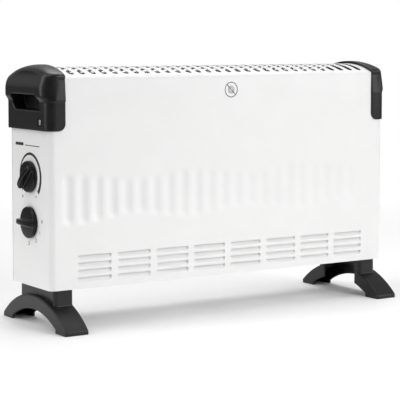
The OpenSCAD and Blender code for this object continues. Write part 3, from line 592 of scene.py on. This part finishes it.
def in_window(s, z):
    """True where the finger pocket passes through the casing's end."""
    s = np.abs(s)
    return ((s > along_end(POCKET_Y[0] - WINDOW)) & (s < along_end(POCKET_Y[1] + WINDOW))
            & (z > POCKET_Z[0] - WINDOW) & (z < POCKET_Z[1] + WINDOW))


# a round hole's cells are moved within this many radii, and grid lines cross it at these steps
HOLE_GRID = 1.8
HOLE_STEPS = np.array([-HOLE_GRID, -1, -0.5, 0, 0.5, 1, HOLE_GRID])


def open_hole(u, v, place, r):
    """Moves grid lines around a round hole, so that its square of cells gets a round edge."""
    du, dv = u - place[0], v - place[1]
    square = np.maximum(np.abs(du), np.abs(dv)) / r
    away = np.maximum(np.hypot(du, dv), 1e-9)
    blend = np.clip((square - 1) / (HOLE_GRID - 1), 0, 1)
    near = square < HOLE_GRID
    round_u, round_v = place[0] + r * du / away, place[1] + r * dv / away
    return (np.where(near, round_u + (u - round_u) * blend, u),
            np.where(near, round_v + (v - round_v) * blend, v))


def in_hole(mid_u, mid_v, place, r):
    """True in the square of cells that a round hole takes away."""
    return np.maximum(np.abs(mid_u - place[0]), np.abs(mid_v - place[1])) < r


CASING_HOLES = [
    ((-along_end(THERMOSTAT.y), THERMOSTAT.z), SHAFT_HOLE_R),
    ((-along_end(SELECTOR.y), SELECTOR.z), SHAFT_HOLE_R),
    ((-along_end(HANDLE_SCREW[0]), HANDLE_SCREW[1]), SCREW_HOLE_R),
    ((along_end(HANDLE_SCREW[0]), HANDLE_SCREW[1]), SCREW_HOLE_R),
]


def casing_place(s, z, mid_s, mid_z):
    """Corners of the casing's cells: the folded plan, pressed inward at louvres and flutes."""
    for place, r in CASING_HOLES:
        s, z = open_hole(s, z, place, r)
    a, b, heading = follow(CASING_TRACK, np.abs(s))
    on_front = np.abs(s) < FRONT_LEN
    press = louvre_depth(s, z, mid_s, mid_z) + flute_depth(s, z)
    press = np.where(on_front, press, 0)
    x = np.sign(mid_s) * (a - press * np.sin(heading))
    return np.stack([x, FRONT_Y + b + press * np.cos(heading), z], -1)


def casing_keep(s, z):
    """Cells of the casing's sheet outside its holes, windows and notches."""
    notch = (np.abs(s) > FRONT_LEN - NOTCH) & (np.abs(s) < END_START + NOTCH) & (z > NOTCH_Z)
    keep = ~in_window(s, z) & ~notch
    for place, r in CASING_HOLES:
        keep &= ~in_hole(s, z, place, r)
    return keep


def build_casing():
    """The folded front sheet with its ends, flutes and louvres."""
    half_flute = np.linspace(-1, 1, 11) * FLUTE_HALF_W
    flutes = np.concatenate([flute_place(i) + half_flute for i in range(FLUTES)])
    corner = FRONT_LEN + np.linspace(0, 1, 9) * CORNER_LEN
    bend = END_START + END_LEN + np.linspace(0, 1, 5) * BEND_LEN
    ends = [along_end(y) for y in (POCKET_Y[0] - WINDOW, POCKET_Y[1] + WINDOW, -20, 20)]
    ends += [FRONT_LEN - NOTCH, END_START + NOTCH]
    outer = np.concatenate([corner, bend, ends, [END_START + END_LEN + BEND_LEN + FLANGE - BEND_R]])
    holes_s = [place[0] + HOLE_STEPS * r for place, r in CASING_HOLES]
    holes_z = [place[1] + HOLE_STEPS * r for place, r in CASING_HOLES]
    us = lines(flutes, louvre_lines_x(), outer, -outer, [0], *holes_s)
    reach = FLUTE_HALF_H + WAVE_H + 1.5
    rows = FLUTE_Z + np.linspace(-reach, reach, 25)
    upper = np.arange(215, 305, 20)
    vs = lines([BASE_Z, SEAM_Z - SEAM_GAP], louvre_lines_z(), rows, *holes_z,
               [POCKET_Z[0] - WINDOW, POCKET_Z[1] + WINDOW, NOTCH_Z], upper)
    points, faces = grid_faces(us, vs, casing_place, casing_keep)
    sheet = thicken(mesh_piece("casing_sheet", points, faces, "white_steel"), SHEET)
    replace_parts(sheet, "front_casing")


def slot_width(y):
    """Half width of a top slot at a place along it."""
    past = np.maximum(np.abs(y) - (SLOT_HALF - SLOT_R), 0)
    return np.sqrt(np.maximum(SLOT_R ** 2 - past ** 2, 0))


def slot_centre(x):
    """Middle of the slot nearest to a place across the top."""
    last = (SLOTS - 1) / 2
    return np.clip(np.round(x / SLOT_PITCH - 0.5) + 0.5, -last, last) * SLOT_PITCH


def grille_place(x, v, mid_x, mid_v):
    """Corners of the arched top: v is the depth on the arch, and runs on along the rolled edges."""
    centre = slot_centre(mid_x)
    off = x - centre
    width = slot_width(v)
    gap = SLOT_PITCH / 2 - SLOT_R
    moved = np.where(np.abs(off) <= SLOT_R, np.abs(off) * width / SLOT_R,
                     width + (np.abs(off) - SLOT_R) * (SLOT_PITCH / 2 - width) / gap)
    x = np.where(np.abs(off) <= SLOT_PITCH / 2 + 1e-6, centre + np.sign(off) * moved, x)
    flat = np.clip(v, -ARCH_HALF, ARCH_HALF)
    angle = ROLL_TILT + np.maximum(np.abs(v) - ARCH_HALF, 0) / ROLL_R
    on_arch = np.abs(v) <= ARCH_HALF
    drop = np.maximum(angle - math.pi / 2, 0) * ROLL_R
    angle = np.minimum(angle, math.pi / 2)
    y = np.where(on_arch, flat, np.sign(v) * (ROLL_Y + ROLL_R * np.sin(angle)))
    arch_z = ARCH_Z + np.sqrt(ARCH_R ** 2 - flat ** 2)
    z = np.where(on_arch, arch_z, ROLL_Z + ROLL_R * np.cos(angle) - drop)
    return np.stack([x, y, z], -1)


def grille_keep(x, v):
    """Cells of the arched top outside its slots and the notches under the handles."""
    slot = (np.abs(x - slot_centre(x)) < SLOT_R) & (np.abs(v) < SLOT_HALF)
    notch = (np.abs(x) > HALF_W - NOTCH) & (v < -NOTCH)
    return ~slot & ~notch


def skirt(side):
    """Inner flange that hangs behind the front or rear sheet."""
    us = np.array([-SKIRT_HALF, SKIRT_HALF])
    vs = np.array([SEAM_Z - SKIRT_DROP, SEAM_Z + SKIRT_LAP])

    def place(x, z, mid_x, mid_z):
        """Corners of the flange's one cell, turned to face outward."""
        return np.stack([-side * x, side * (REAR_Y - SHEET - SKIRT_FIT) + 0 * x, z], -1)

    return grid_faces(us, vs, place, lambda x, z: x < HALF_W)


def build_grille():
    """The arched top with its slots and rolled edges."""
    middles = slot_centre((np.arange(SLOTS) - (SLOTS - 1) / 2) * SLOT_PITCH)
    edges = np.concatenate([middles + SLOT_R * side for side in (-1, -0.5, 0, 0.5, 1)])
    bars = np.concatenate([middles - SLOT_PITCH / 2, middles + SLOT_PITCH / 2])
    us = lines(edges, bars, [-HALF_W + SHEET, HALF_W - SHEET, -HALF_W + NOTCH, HALF_W - NOTCH])
    ends = SLOT_HALF - SLOT_R * (1 - np.sin(np.linspace(0, math.pi / 2, 6)))
    quarter = (math.pi / 2 - ROLL_TILT) * ROLL_R
    roll = ARCH_HALF + quarter * np.linspace(0, 1, 7)
    side = np.concatenate([ends, roll, [ARCH_HALF + quarter + ROLL_Z - SEAM_Z]])
    middle = np.linspace(-38, 38, 17)
    vs = lines(middle, [-NOTCH], side, -side)
    top = grid_faces(us, vs, grille_place, grille_keep)
    points, faces = joined(top, skirt(-1), skirt(1))
    sheet = thicken(mesh_piece("arched_top_sheet", points, faces, "white_steel"), SHEET)
    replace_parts(sheet, "top_grille")


# ---- handles ----

def handle_field(x, y, z):
    """Right handle: a cap over the casing's end with a grip band, soft shoulder and finger pocket."""
    half = CAP_HALF - max(FLARE_OUT) - FLARE_SPARE
    front_r = CAP_FRONT_R + (GRIP_FRONT_R - CAP_FRONT_R) * rise_over(z, GRIP_ROUND_Z)
    edge_r = np.where(y < 0, front_r, CAP_REAR_R)
    # how far a place faces the end rather than the front or rear, from 0 to 1
    off_x = np.maximum(x - (CAP_X - edge_r), 0) + 0.01
    off_y = np.maximum(np.abs(y) - (half - edge_r), 0)
    facing_end = off_x ** 2 / (off_x ** 2 + off_y ** 2)
    # the cap's sides, with the grip band and its flare laid on them
    band = rise_over(z, BAND_RISE_Z) * (1 - rise_over(z, BAND_FALL_Z))
    flare = np.interp(z, FLARE_Z, FLARE_OUT)
    side = round_and(x - CAP_X, np.abs(y) - half, edge_r)
    side = side - (GRIP_X - CAP_X) * facing_end ** 2 * band - (1 - facing_end) ** 3 * flare
    # the crown, which falls over the shoulder and stops short of the vertical
    over_x = np.maximum(x - SHOULDER_X, 0) / (GRIP_X - SHOULDER_X)
    drop = SHOULDER_H * (1 - np.sqrt(1 - np.minimum(over_x, 0.98) ** 2))
    crown = (np.hypot(y, z + drop - ARCH_Z) - ARCH_R - CAP_RISE) / np.hypot(1, drop_slope(over_x))
    body = round_and(side, crown, CAP_EDGE_R)
    body = round_and(body, round_and(CAP_INNER - x, CAP_LOW - z, CAP_CORNER_R), CAP_RIM_R)
    # the hollow that fits over the casing
    inner_r = CORNER_R + np.where(y < 0, front_r - CAP_FRONT_R, 0)
    end = round_and(x - HALF_W - CAP_FIT, np.abs(y) - REAR_Y - CAP_FIT, inner_r)
    arch = np.hypot(y, z - ARCH_Z) - ARCH_R - CAP_FIT
    body = np.maximum(body, -np.maximum(end, arch))
    # the finger pocket with its lining, and the screw's well
    outline = pocket_outline(y, z)
    lining = np.maximum(outline - POCKET_WALL, span(x, POCKET_X - POCKET_WALL, HALF_W + LINING_LAP))
    body = np.minimum(body, lining)
    body = round_cut(body, round_and(outline, POCKET_X - x, POCKET_BOTTOM_R), POCKET_EDGE_R)
    screw = np.hypot(y - HANDLE_SCREW[0], z - HANDLE_SCREW[1])
    well = np.maximum(screw - HANDLE_SCREW_WELL_R, CAP_X - HANDLE_SCREW_SEAT - x)
    return np.maximum(np.maximum(body, -well), SCREW_HOLE_R - screw)


def drop_slope(over):
    """Steepness of the shoulder where its fall is a quarter of an ellipse."""
    over = np.minimum(over, 0.9)
    return SHOULDER_H / (GRIP_X - SHOULDER_X) * over / np.sqrt(1 - over ** 2)


def pocket_outline(y, z):
    """Outline of the finger pocket: one round and one slanted corner."""
    box = round_and(span(y, *POCKET_Y), span(z, *POCKET_Z), POCKET_BOTTOM_R)
    slant = (y - POCKET_Y[1] + POCKET_SLANT - (z - POCKET_Z[0])) / math.sqrt(2)
    past_y = np.maximum(POCKET_Y[0] + POCKET_R - y, 0)
    past_z = np.maximum(z - POCKET_Z[1] + POCKET_R, 0)
    return np.maximum(round_and(box, slant, POCKET_BOTTOM_R), np.hypot(past_y, past_z) - POCKET_R)


def build_handles():
    """The two grip handles, which mirror each other."""
    low, high = corners("right_handle")
    points, faces = moulded(handle_field, low, high, MOULD_CELL)
    right = mesh_piece("right_grip_handle", points, faces, "black_plastic", sharp=50)
    left = mesh_piece("left_grip_handle", *mirrored(points, faces), "black_plastic", sharp=50)
    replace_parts(right, "right_handle")
    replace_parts(left, "left_handle")


# ---- feet ----

def foot_field(x, y, z):
    """Right foot: a hollow arched shell with upright toes, and a neck up to the casing."""
    # arched shell, open underneath, with a gap between its toes
    half = FOOT_HIGH.y
    arch_r = (half ** 2 + (FOOT_ARCH - FOOT_LIP) ** 2) / (2 * (FOOT_ARCH - FOOT_LIP))
    arch = np.hypot(y, z - FOOT_ARCH + arch_r) - arch_r
    outline = round_and(arch, np.abs(y) - half, FOOT_RIM_R)
    shell = round_and(outline, span(x, FOOT_LOW.x, FOOT_HIGH.x), FOOT_SIDE_R)
    hollow = np.maximum(span(x, FOOT_LOW.x + FOOT_WALL, FOOT_HIGH.x - FOOT_WALL),
                        np.maximum(arch + FOOT_WALL, np.abs(y) - half + FOOT_WALL))
    shell = np.maximum(shell, -hollow)
    gap = np.maximum(np.hypot(y, z - FOOT_GAP + FOOT_GAP_R) - FOOT_GAP_R, np.abs(y) - FOOT_PAD)
    shell = round_cut(shell, gap, FOOT_GAP_EDGE_R)
    # hollow neck
    neck_x = span(x, FOOT_LOW.x, FOOT_HIGH.x - FOOT_STEP)
    neck_y = np.abs(y) - FOOT_NECK
    neck = round_and(neck_x, neck_y, FOOT_NECK_R)
    inner = np.maximum(neck_x + FOOT_WALL, neck_y + FOOT_WALL)
    neck = np.maximum(neck, -np.maximum(inner, z - FOOT_HIGH.z + FOOT_WALL))
    neck = np.maximum(neck, -(arch + FOOT_WALL))
    neck = np.maximum(neck, z - FOOT_HIGH.z)
    body = round_or(shell, neck, FOOT_FILLET_R)
    # opening on the inner side, and screw holes with wells under them
    opening = np.maximum(x - FOOT_HIGH.x + FOOT_STEP + FOOT_WALL, np.abs(y) - FOOT_OPEN)
    body = np.maximum(body, -np.maximum(opening, z - FOOT_HIGH.z + FOOT_WALL))
    for side in (-1, 1):
        hole = np.hypot(x - (FOOT_LOW.x + FOOT_HIGH.x - FOOT_STEP) / 2, y - side * FOOT_SCREW_Y)
        body = np.maximum(body, SCREW_HOLE_R - hole)
        body = np.maximum(body, -np.maximum(hole - FOOT_SCREW_WELL_R, z - FOOT_HIGH.z + FOOT_WALL))
    return np.maximum(body, -z)


def build_feet():
    """The two arched feet, which mirror each other."""
    points, faces = moulded(foot_field, FOOT_LOW, FOOT_HIGH, MOULD_CELL)
    right = mesh_piece("right_arched_foot", points, faces, "black_plastic", sharp=50)
    left = mesh_piece("left_arched_foot", *mirrored(points, faces), "black_plastic", sharp=50)
    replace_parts(right, "right_foot")
    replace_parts(left, "left_foot")


# ---- knobs ----

def knob_field(axis, turn):
    """Distance field of a knob: low domed disc, tapered grip bar and hollow underside."""
    along_y, along_z = math.cos(turn), math.sin(turn)
    base, top = KNOB_HIGH.x, KNOB_LOW.x
    rise = base - top

    def field(x, y, z):
        """Distance to the knob."""
        u = (y - axis.y) * along_y + (z - axis.z) * along_z
        v = (z - axis.z) * along_y - (y - axis.y) * along_z
        t = base - x
        away = np.hypot(u, v)
        dome = t - DISC_H + DISC_DOME * (away / KNOB_R) ** 2
        disc = round_and(away - KNOB_R, dome, KNOB_EDGE_R)
        half = BAR_HALF + BAR_TAPER * u / KNOB_R + BAR_DRAFT * (rise - t)
        ridge = t - rise + BAR_FALL * (u / KNOB_R) ** 2
        bar = round_and(np.abs(v) - half, ridge, KNOB_EDGE_R)
        bar = round_and(bar, away - KNOB_R + BAR_INSET, KNOB_EDGE_R)
        knob = np.maximum(round_or(disc, bar, BAR_FILLET_R), -t)
        under = np.maximum(np.maximum(away - KNOB_R + KNOB_WALL, BOSS_R - away), t - KNOB_HOLLOW)
        bore = np.maximum(away - BORE_R, t - BORE_H)
        return np.maximum(knob, -np.minimum(under, bore))

    return field


def build_knob(name, node, body, axis, turn):
    """A knob with its bar turned up from the depth direction by an angle in degrees."""
    low, high = corners(node)
    points, faces = moulded(knob_field(axis, math.radians(turn)), low, high, KNOB_CELL)
    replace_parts(mesh_piece(name, points, faces, "knob_plastic", body, sharp=50), node)


# ---- screws ----

def screw_shape(head_r, head_h, shank_r, length):
    """Points and faces of a pan-head screw with a cross recess, head up the z axis from the origin."""

    def field(x, y, z):
        """Distance to the screw."""
        away = np.hypot(x, y)
        head = round_and(away - head_r, z - head_h + 0.5 * (away / head_r) ** 2, 0.5)
        head = np.maximum(head, -z)
        reach = head_r * CROSS_REACH
        arms = np.minimum(np.maximum(np.abs(x) - CROSS_HALF, np.abs(y) - reach),
                          np.maximum(np.abs(y) - CROSS_HALF, np.abs(x) - reach))
        recess = np.maximum(arms, head_h - CROSS_DEPTH + 0.25 * away - z)
        thread = away - shank_r - THREAD_DEPTH * np.abs(((z * THREADS_PER_MM) % 1) - 0.5)
        return np.minimum(np.maximum(head, -recess), np.maximum(thread, span(z, -length, 0.2)))

    return moulded(field, (-head_r, -head_r, -length), (head_r, head_r, head_h), SCREW_CELL)


def build_screws(name, node, shape, places):
    """One piece of identical screws. Each place is a point and the direction that the head faces."""
    points, faces = shape
    parts = []
    for point, facing in places:
        turn = Vector((0, 0, 1)).rotation_difference(Vector(facing)).to_matrix()
        parts.append((points @ np.array(turn).T + np.array(point), faces))
    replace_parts(mesh_piece(name, *joined(*parts), "plated_steel", sharp=40), node)


# ---- wound heating wires ----

def build_coil(name, node, z):
    """A wound resistance wire along its folded run, as a helix."""
    run = COIL_X[1] - COIL_X[0]
    turn = math.pi * COIL_TURN
    track = [(run + COIL_LEAD, 0), (turn, math.pi), (run, 0), (turn, -math.pi), (run, 0),
             (turn, math.pi), (run + COIL_LEAD, 0)]
    length = sum(stretch for stretch, _ in track)
    s = np.linspace(0, length, int(length / COIL_PITCH * COIL_STEPS))
    a, b, heading = follow(track, s)
    phase = 2 * math.pi * s / COIL_PITCH
    x = COIL_X[0] - COIL_LEAD + a - COIL_R * np.cos(phase) * np.sin(heading)
    y = -COIL_Y + b + COIL_R * np.cos(phase) * np.cos(heading)
    route = np.stack([x, y, z + COIL_R * np.sin(phase)], -1)
    wire = bpy.data.curves.new(name, "CURVE")
    wire.dimensions = "3D"
    wire.bevel_depth = WIRE_R * MM
    wire.bevel_resolution = 1
    wire.use_fill_caps = True
    spline = wire.splines.new("POLY")
    spline.points.add(len(route) - 1)
    spline.points.foreach_set("co", np.c_[route * MM, np.ones(len(route))].ravel())
    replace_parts(new_piece(name, wire, "resistance_wire"), node)


# ---- printed marks ----

# height of the print's middle over the sheet, and the thickness of its film
PRINT_LIFT = 0.05
PRINT_FILM = 0.04

# dial scale on the control end, which widens with the heat
SCALE_R = 28.4
SCALE_TURN = (222, -42)
SCALE_WIDTHS = (1.4, 5.4)

# warning sign on the front: its middle and the radius of its ring
SIGN = (5.0, 292.0)
SIGN_R = 9.6


def on_end(p, q):
    """Place of a mark on the control end: p to the right as it is read, q up."""
    return [-HALF_W - PRINT_LIFT, -p, q]


def on_front(p, q):
    """Place of a mark on the front."""
    return [p, FRONT_Y - PRINT_LIFT, q]


def ribbon(name, plane, line, widths, ink, closed=False):
    """A printed line of varying width along points of a plane."""
    line = np.asarray(line, float)
    ahead = np.roll(line, -1, 0) - np.roll(line, 1, 0)
    if not closed:
        ahead[0], ahead[-1] = line[1] - line[0], line[-1] - line[-2]
    across = np.stack([-ahead[:, 1], ahead[:, 0]], 1) / np.hypot(*ahead.T)[:, None]
    half = (np.zeros(len(line)) + widths)[:, None] / 2
    points = [plane(*p) for p in np.concatenate([line - across * half, line + across * half])]
    n = len(line)
    last = n if closed else n - 1
    faces = [[i, (i + 1) % n, n + (i + 1) % n, n + i] for i in range(last)]
    piece = mesh_piece(name, points, faces, "white_steel", ink=ink)
    modifier = piece.modifiers.new("film", "SOLIDIFY")
    modifier.thickness = PRINT_FILM * MM
    modifier.offset = 0


def arc(centre, r, start, end, count):
    """Points of an arc, in degrees from the plane's right, counter-clockwise."""
    angles = np.radians(np.linspace(start, end, count))
    return np.stack([centre[0] + r * np.cos(angles), centre[1] + r * np.sin(angles)], 1)


def numeral(name, text, p, q, height):
    """A printed figure on the control end."""
    data = bpy.data.curves.new(name, "FONT")
    data.body = text
    data.size = height * 1.4 * MM
    data.extrude = 0.02 * MM
    data.offset = 0.12 * MM
    data.align_x = "CENTER"
    data.align_y = "CENTER"
    data.materials.append(PRINT)
    piece = bpy.data.objects.new(name, data)
    bpy.context.scene.collection.objects.link(piece)
    # the figure reads along -y, stands up z and faces -x
    turn = Matrix(((0, 0, -1), (-1, 0, 0), (0, 1, 0)))
    piece.matrix_world = Matrix.Translation(Vector(on_end(p, q)) * MM) @ turn.to_4x4()
    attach(piece, "casing")


def build_marks():
    """Dial scale, switch positions and symbols, all generic."""
    scale = arc((-THERMOSTAT.y, THERMOSTAT.z), SCALE_R, *SCALE_TURN, 60)
    ribbon("dial_scale", on_end, scale, np.linspace(*SCALE_WIDTHS, 60), PRINT)
    frost = np.array([-22.2, 161.4])
    for i in range(3):
        angle = math.radians(90 + 60 * i)
        tip = np.array([math.cos(angle), math.sin(angle)]) * 2.1
        ribbon(f"frost_mark_{i}", on_end, [frost - tip, frost + tip], 0.6, PRINT)
    ribbon("warm_mark", on_end, arc((14.4, 161.6), 2.4, 150, 30, 9), 0.8, PRINT)
    numeral("switch_mark_0", "0", 30.4, 133.9, 4.2)
    numeral("switch_mark_1", "1", 24.4, 119.4, 4.2)
    numeral("switch_mark_2", "2", 13.9, 109.1, 5.0)
    numeral("switch_mark_3", "3", -5.6, 103.2, 5.0)
    ribbon("panel_rule", on_end, [(-41, 227), (-19, 227)], 3.8, PRINT)
    ribbon("panel_line", on_end, [(-15, 226), (25, 226)], 1.2, PALE_PRINT)
    ribbon("sign_ring", on_front, arc(SIGN, SIGN_R, 0, 360, 49)[:-1], 1.15, PALE_PRINT, closed=True)
    slant = np.array([-6.6, 6.6])
    ribbon("sign_bar", on_front, [SIGN + slant, SIGN - slant], 1.15, PALE_PRINT)
    ribbon("sign_inner", on_front, arc(SIGN, 3.6, 0, 360, 33)[:-1], 3.4, FAINT_PRINT, closed=True)


# ---- camera, light and floor ----

CAMERA_PLACE = (-1.0929, -1.6740, 0.3610)
CAMERA_PITCH = -3.94
CAMERA_YAW = 32.79
CAMERA_LENS = 135.3
CAMERA_SHIFT = (0.0079, -0.15)

# directions that surround the heater, and how bright the studio is that way
WORLD_LOBES = [
    ((0.7071, -0.7071, 0), 1.15),
    ((-0.954, 0.3, 0), 0.45),
    ((0.18, 0.8, 0.57), 0.5),
]
# height over the horizon, as part of a direction, where the surroundings reach their full light
HORIZON_FADE = 0.15

# soft lights: name, place, size and power. They all face the middle of the heater.
LIGHTS = [
    ("left_light", (-2.6, 0.7, 1.0), (1.2, 1.8), 21),
    ("high_left_light", (-1.6, -0.1, 2.4), (1.8, 1.8), 24),
    ("back_light", (0.95, 1.4, 2.42), (1.2, 0.8), 12.5),
    ("top_light", (0.4, 0.3, 2.4), (1.8, 1.2), 12),
    ("low_right_light", (2.2, -2.6, 0.8), (1.4, 1.0), 13.4),
    ("right_light", (3.0, -0.6, 1.2), (2.0, 2.2), 6),
    ("front_light", (0.35, -1.25, 1.0), (0.8, 1.0), 9.5),
]
LIGHT_TARGET = (0, 0, 0.18)

# distances from the middle where the floor starts and ends its fade, and its glow for reflections
FLOOR_FADE = (0.55, 1.3)
FLOOR_GLOW = 0.17
FLOOR_REACH = 30.0


def build_camera():
    """Camera at the left of the heater's front, a little above its top."""
    data = bpy.data.cameras.new("camera")
    data.lens = CAMERA_LENS
    data.sensor_width = 36.0
    data.shift_x, data.shift_y = CAMERA_SHIFT
    data.clip_end = 50
    camera = bpy.data.objects.new("camera", data)
    bpy.context.scene.collection.objects.link(camera)
    camera.location = CAMERA_PLACE
    camera.rotation_euler = (math.radians(90 + CAMERA_PITCH), 0, math.radians(-CAMERA_YAW))
    bpy.context.scene.camera = camera


def area_light(name, place, size, power):
    """A soft rectangular light that faces the heater and doesn't show itself."""
    data = bpy.data.lights.new(name, "AREA")
    data.shape = "RECTANGLE"
    data.size, data.size_y = size
    data.energy = power
    light = bpy.data.objects.new(name, data)
    bpy.context.scene.collection.objects.link(light)
    light.location = place
    aim = Vector(LIGHT_TARGET) - Vector(place)
    light.rotation_euler = aim.to_track_quat("-Z", "Y").to_euler()
    light.visible_camera = False


def sum_of_lobes(tree, direction):
    """Output that adds up the light of every lobe in a direction."""
    total = None
    for middle, strength in WORLD_LOBES:
        facing = add_node(tree, "ShaderNodeVectorMath", operation="DOT_PRODUCT")
        facing.inputs[1].default_value = middle
        ahead = add_node(tree, "ShaderNodeMath", operation="MAXIMUM")
        ahead.inputs[1].default_value = 0
        squared = add_node(tree, "ShaderNodeMath", operation="POWER")
        squared.inputs[1].default_value = 2
        lobe = add_node(tree, "ShaderNodeMath", operation="MULTIPLY_ADD")
        lobe.inputs[1].default_value = strength
        lobe.inputs[2].default_value = 0
        tree.links.new(direction, facing.inputs[0])
        tree.links.new(facing.outputs["Value"], ahead.inputs[0])
        tree.links.new(ahead.outputs[0], squared.inputs[0])
        tree.links.new(squared.outputs[0], lobe.inputs[0])
        if total:
            tree.links.new(total, lobe.inputs[2])
        total = lobe.outputs[0]
    return total


def build_world():
    """Surroundings that look plain white, and whose light depends on the direction."""
    world = bpy.data.worlds.new("studio")
    bpy.context.scene.world = world
    world.use_nodes = True
    tree = world.node_tree
    shade = tree.nodes["Background"]
    direction = add_node(tree, "ShaderNodeTexCoord").outputs["Generated"]
    total = sum_of_lobes(tree, direction)
    height = add_node(tree, "ShaderNodeSeparateXYZ")
    horizon = add_node(tree, "ShaderNodeMapRange", interpolation_type="SMOOTHSTEP")
    horizon.inputs["From Max"].default_value = HORIZON_FADE
    shown = add_node(tree, "ShaderNodeMath", operation="MULTIPLY")
    tree.links.new(direction, height.inputs[0])
    tree.links.new(height.outputs["Z"], horizon.inputs["Value"])
    tree.links.new(horizon.outputs["Result"], shown.inputs[0])
    tree.links.new(total, shown.inputs[1])
    ray = add_node(tree, "ShaderNodeLightPath")
    pick = add_node(tree, "ShaderNodeMix")
    pick.inputs["B"].default_value = 1.0
    tree.links.new(ray.outputs["Is Camera Ray"], pick.inputs["Factor"])
    tree.links.new(shown.outputs[0], pick.inputs["A"])
    tree.links.new(pick.outputs["Result"], shade.inputs["Strength"])
    shade.inputs["Color"].default_value = (1, 1, 1, 1)


def floor_finish():
    """Pale floor paint that turns into white light away from the heater, dimmer in reflections."""
    pale = finish("pale_floor", grey(0.93), grey(0.94), (0.7, 0.8), scale=2, specular=0.1, bump=0.02)
    tree = pale.node_tree
    place = add_node(tree, "ShaderNodeTexCoord")
    away = add_node(tree, "ShaderNodeVectorMath", operation="LENGTH")
    fade = add_node(tree, "ShaderNodeMapRange")
    fade.inputs["From Min"].default_value = FLOOR_FADE[0]
    fade.inputs["From Max"].default_value = FLOOR_FADE[1]
    glow = add_node(tree, "ShaderNodeEmission")
    ray = add_node(tree, "ShaderNodeLightPath")
    seen = add_node(tree, "ShaderNodeMapRange")
    seen.inputs["To Min"].default_value = FLOOR_GLOW
    tree.links.new(ray.outputs["Is Camera Ray"], seen.inputs["Value"])
    tree.links.new(seen.outputs["Result"], glow.inputs["Strength"])
    blend = add_node(tree, "ShaderNodeMixShader")
    tree.links.new(place.outputs["Object"], away.inputs[0])
    tree.links.new(away.outputs["Value"], fade.inputs["Value"])
    tree.links.new(fade.outputs["Result"], blend.inputs["Fac"])
    tree.links.new(tree.nodes["Principled BSDF"].outputs[0], blend.inputs[1])
    tree.links.new(glow.outputs[0], blend.inputs[2])
    tree.links.new(blend.outputs[0], tree.nodes["Material Output"].inputs["Surface"])
    return pale


def build_floor():
    """Plain floor under the heater, which fades into the white surroundings."""
    mesh = bpy.data.meshes.new("floor")
    ends = [(-1, -1), (1, -1), (1, 1), (-1, 1)]
    mesh.from_pydata([(FLOOR_REACH * x, FLOOR_REACH * y, 0) for x, y in ends], [], [(0, 1, 2, 3)])
    mesh.materials.append(floor_finish())
    floor = bpy.data.objects.new("floor", mesh)
    bpy.context.scene.collection.objects.link(floor)


def build_stage():
    """Camera, floor, surroundings and soft lights."""
    build_camera()
    build_world()
    build_floor()
    for light in LIGHTS:
        area_light(*light)
    settings = bpy.context.scene.view_settings
    settings.view_transform = "Standard"
    settings.look = "None"


# ---- the heater ----

build_stage()
dress_frame()
build_casing()
build_grille()
build_handles()
build_feet()
build_knob("thermostat_dial_knob", "thermostat_knob", "thermostat_dial", THERMOSTAT, -POINTER_DROP)
build_knob("selector_dial_knob", "selector_knob", "selector_dial", SELECTOR, 180)
build_screws("grip_handle_screws", "handle_screws", screw_shape(*HANDLE_SCREW_SIZES), [
    ((side * (CAP_X - HANDLE_SCREW_SEAT), *HANDLE_SCREW), (side, 0, 0)) for side in (-1, 1)])
build_screws("rear_sheet_screws", "rear_panel_screws", screw_shape(*REAR_SCREW_SIZES), [
    ((side * (HALF_W - REAR_SCREW_IN), REAR_Y, z), (0, 1, 0))
    for side in (-1, 1) for z in REAR_SCREW_Z])
for wire_name, wire_node in (("lower_wound_wire", "lower_heating_coil"),
                             ("upper_wound_wire", "upper_heating_coil")):
    low, high = corners(wire_node)
    build_coil(wire_name, wire_node, (low.z + high.z) / 2)
build_marks()
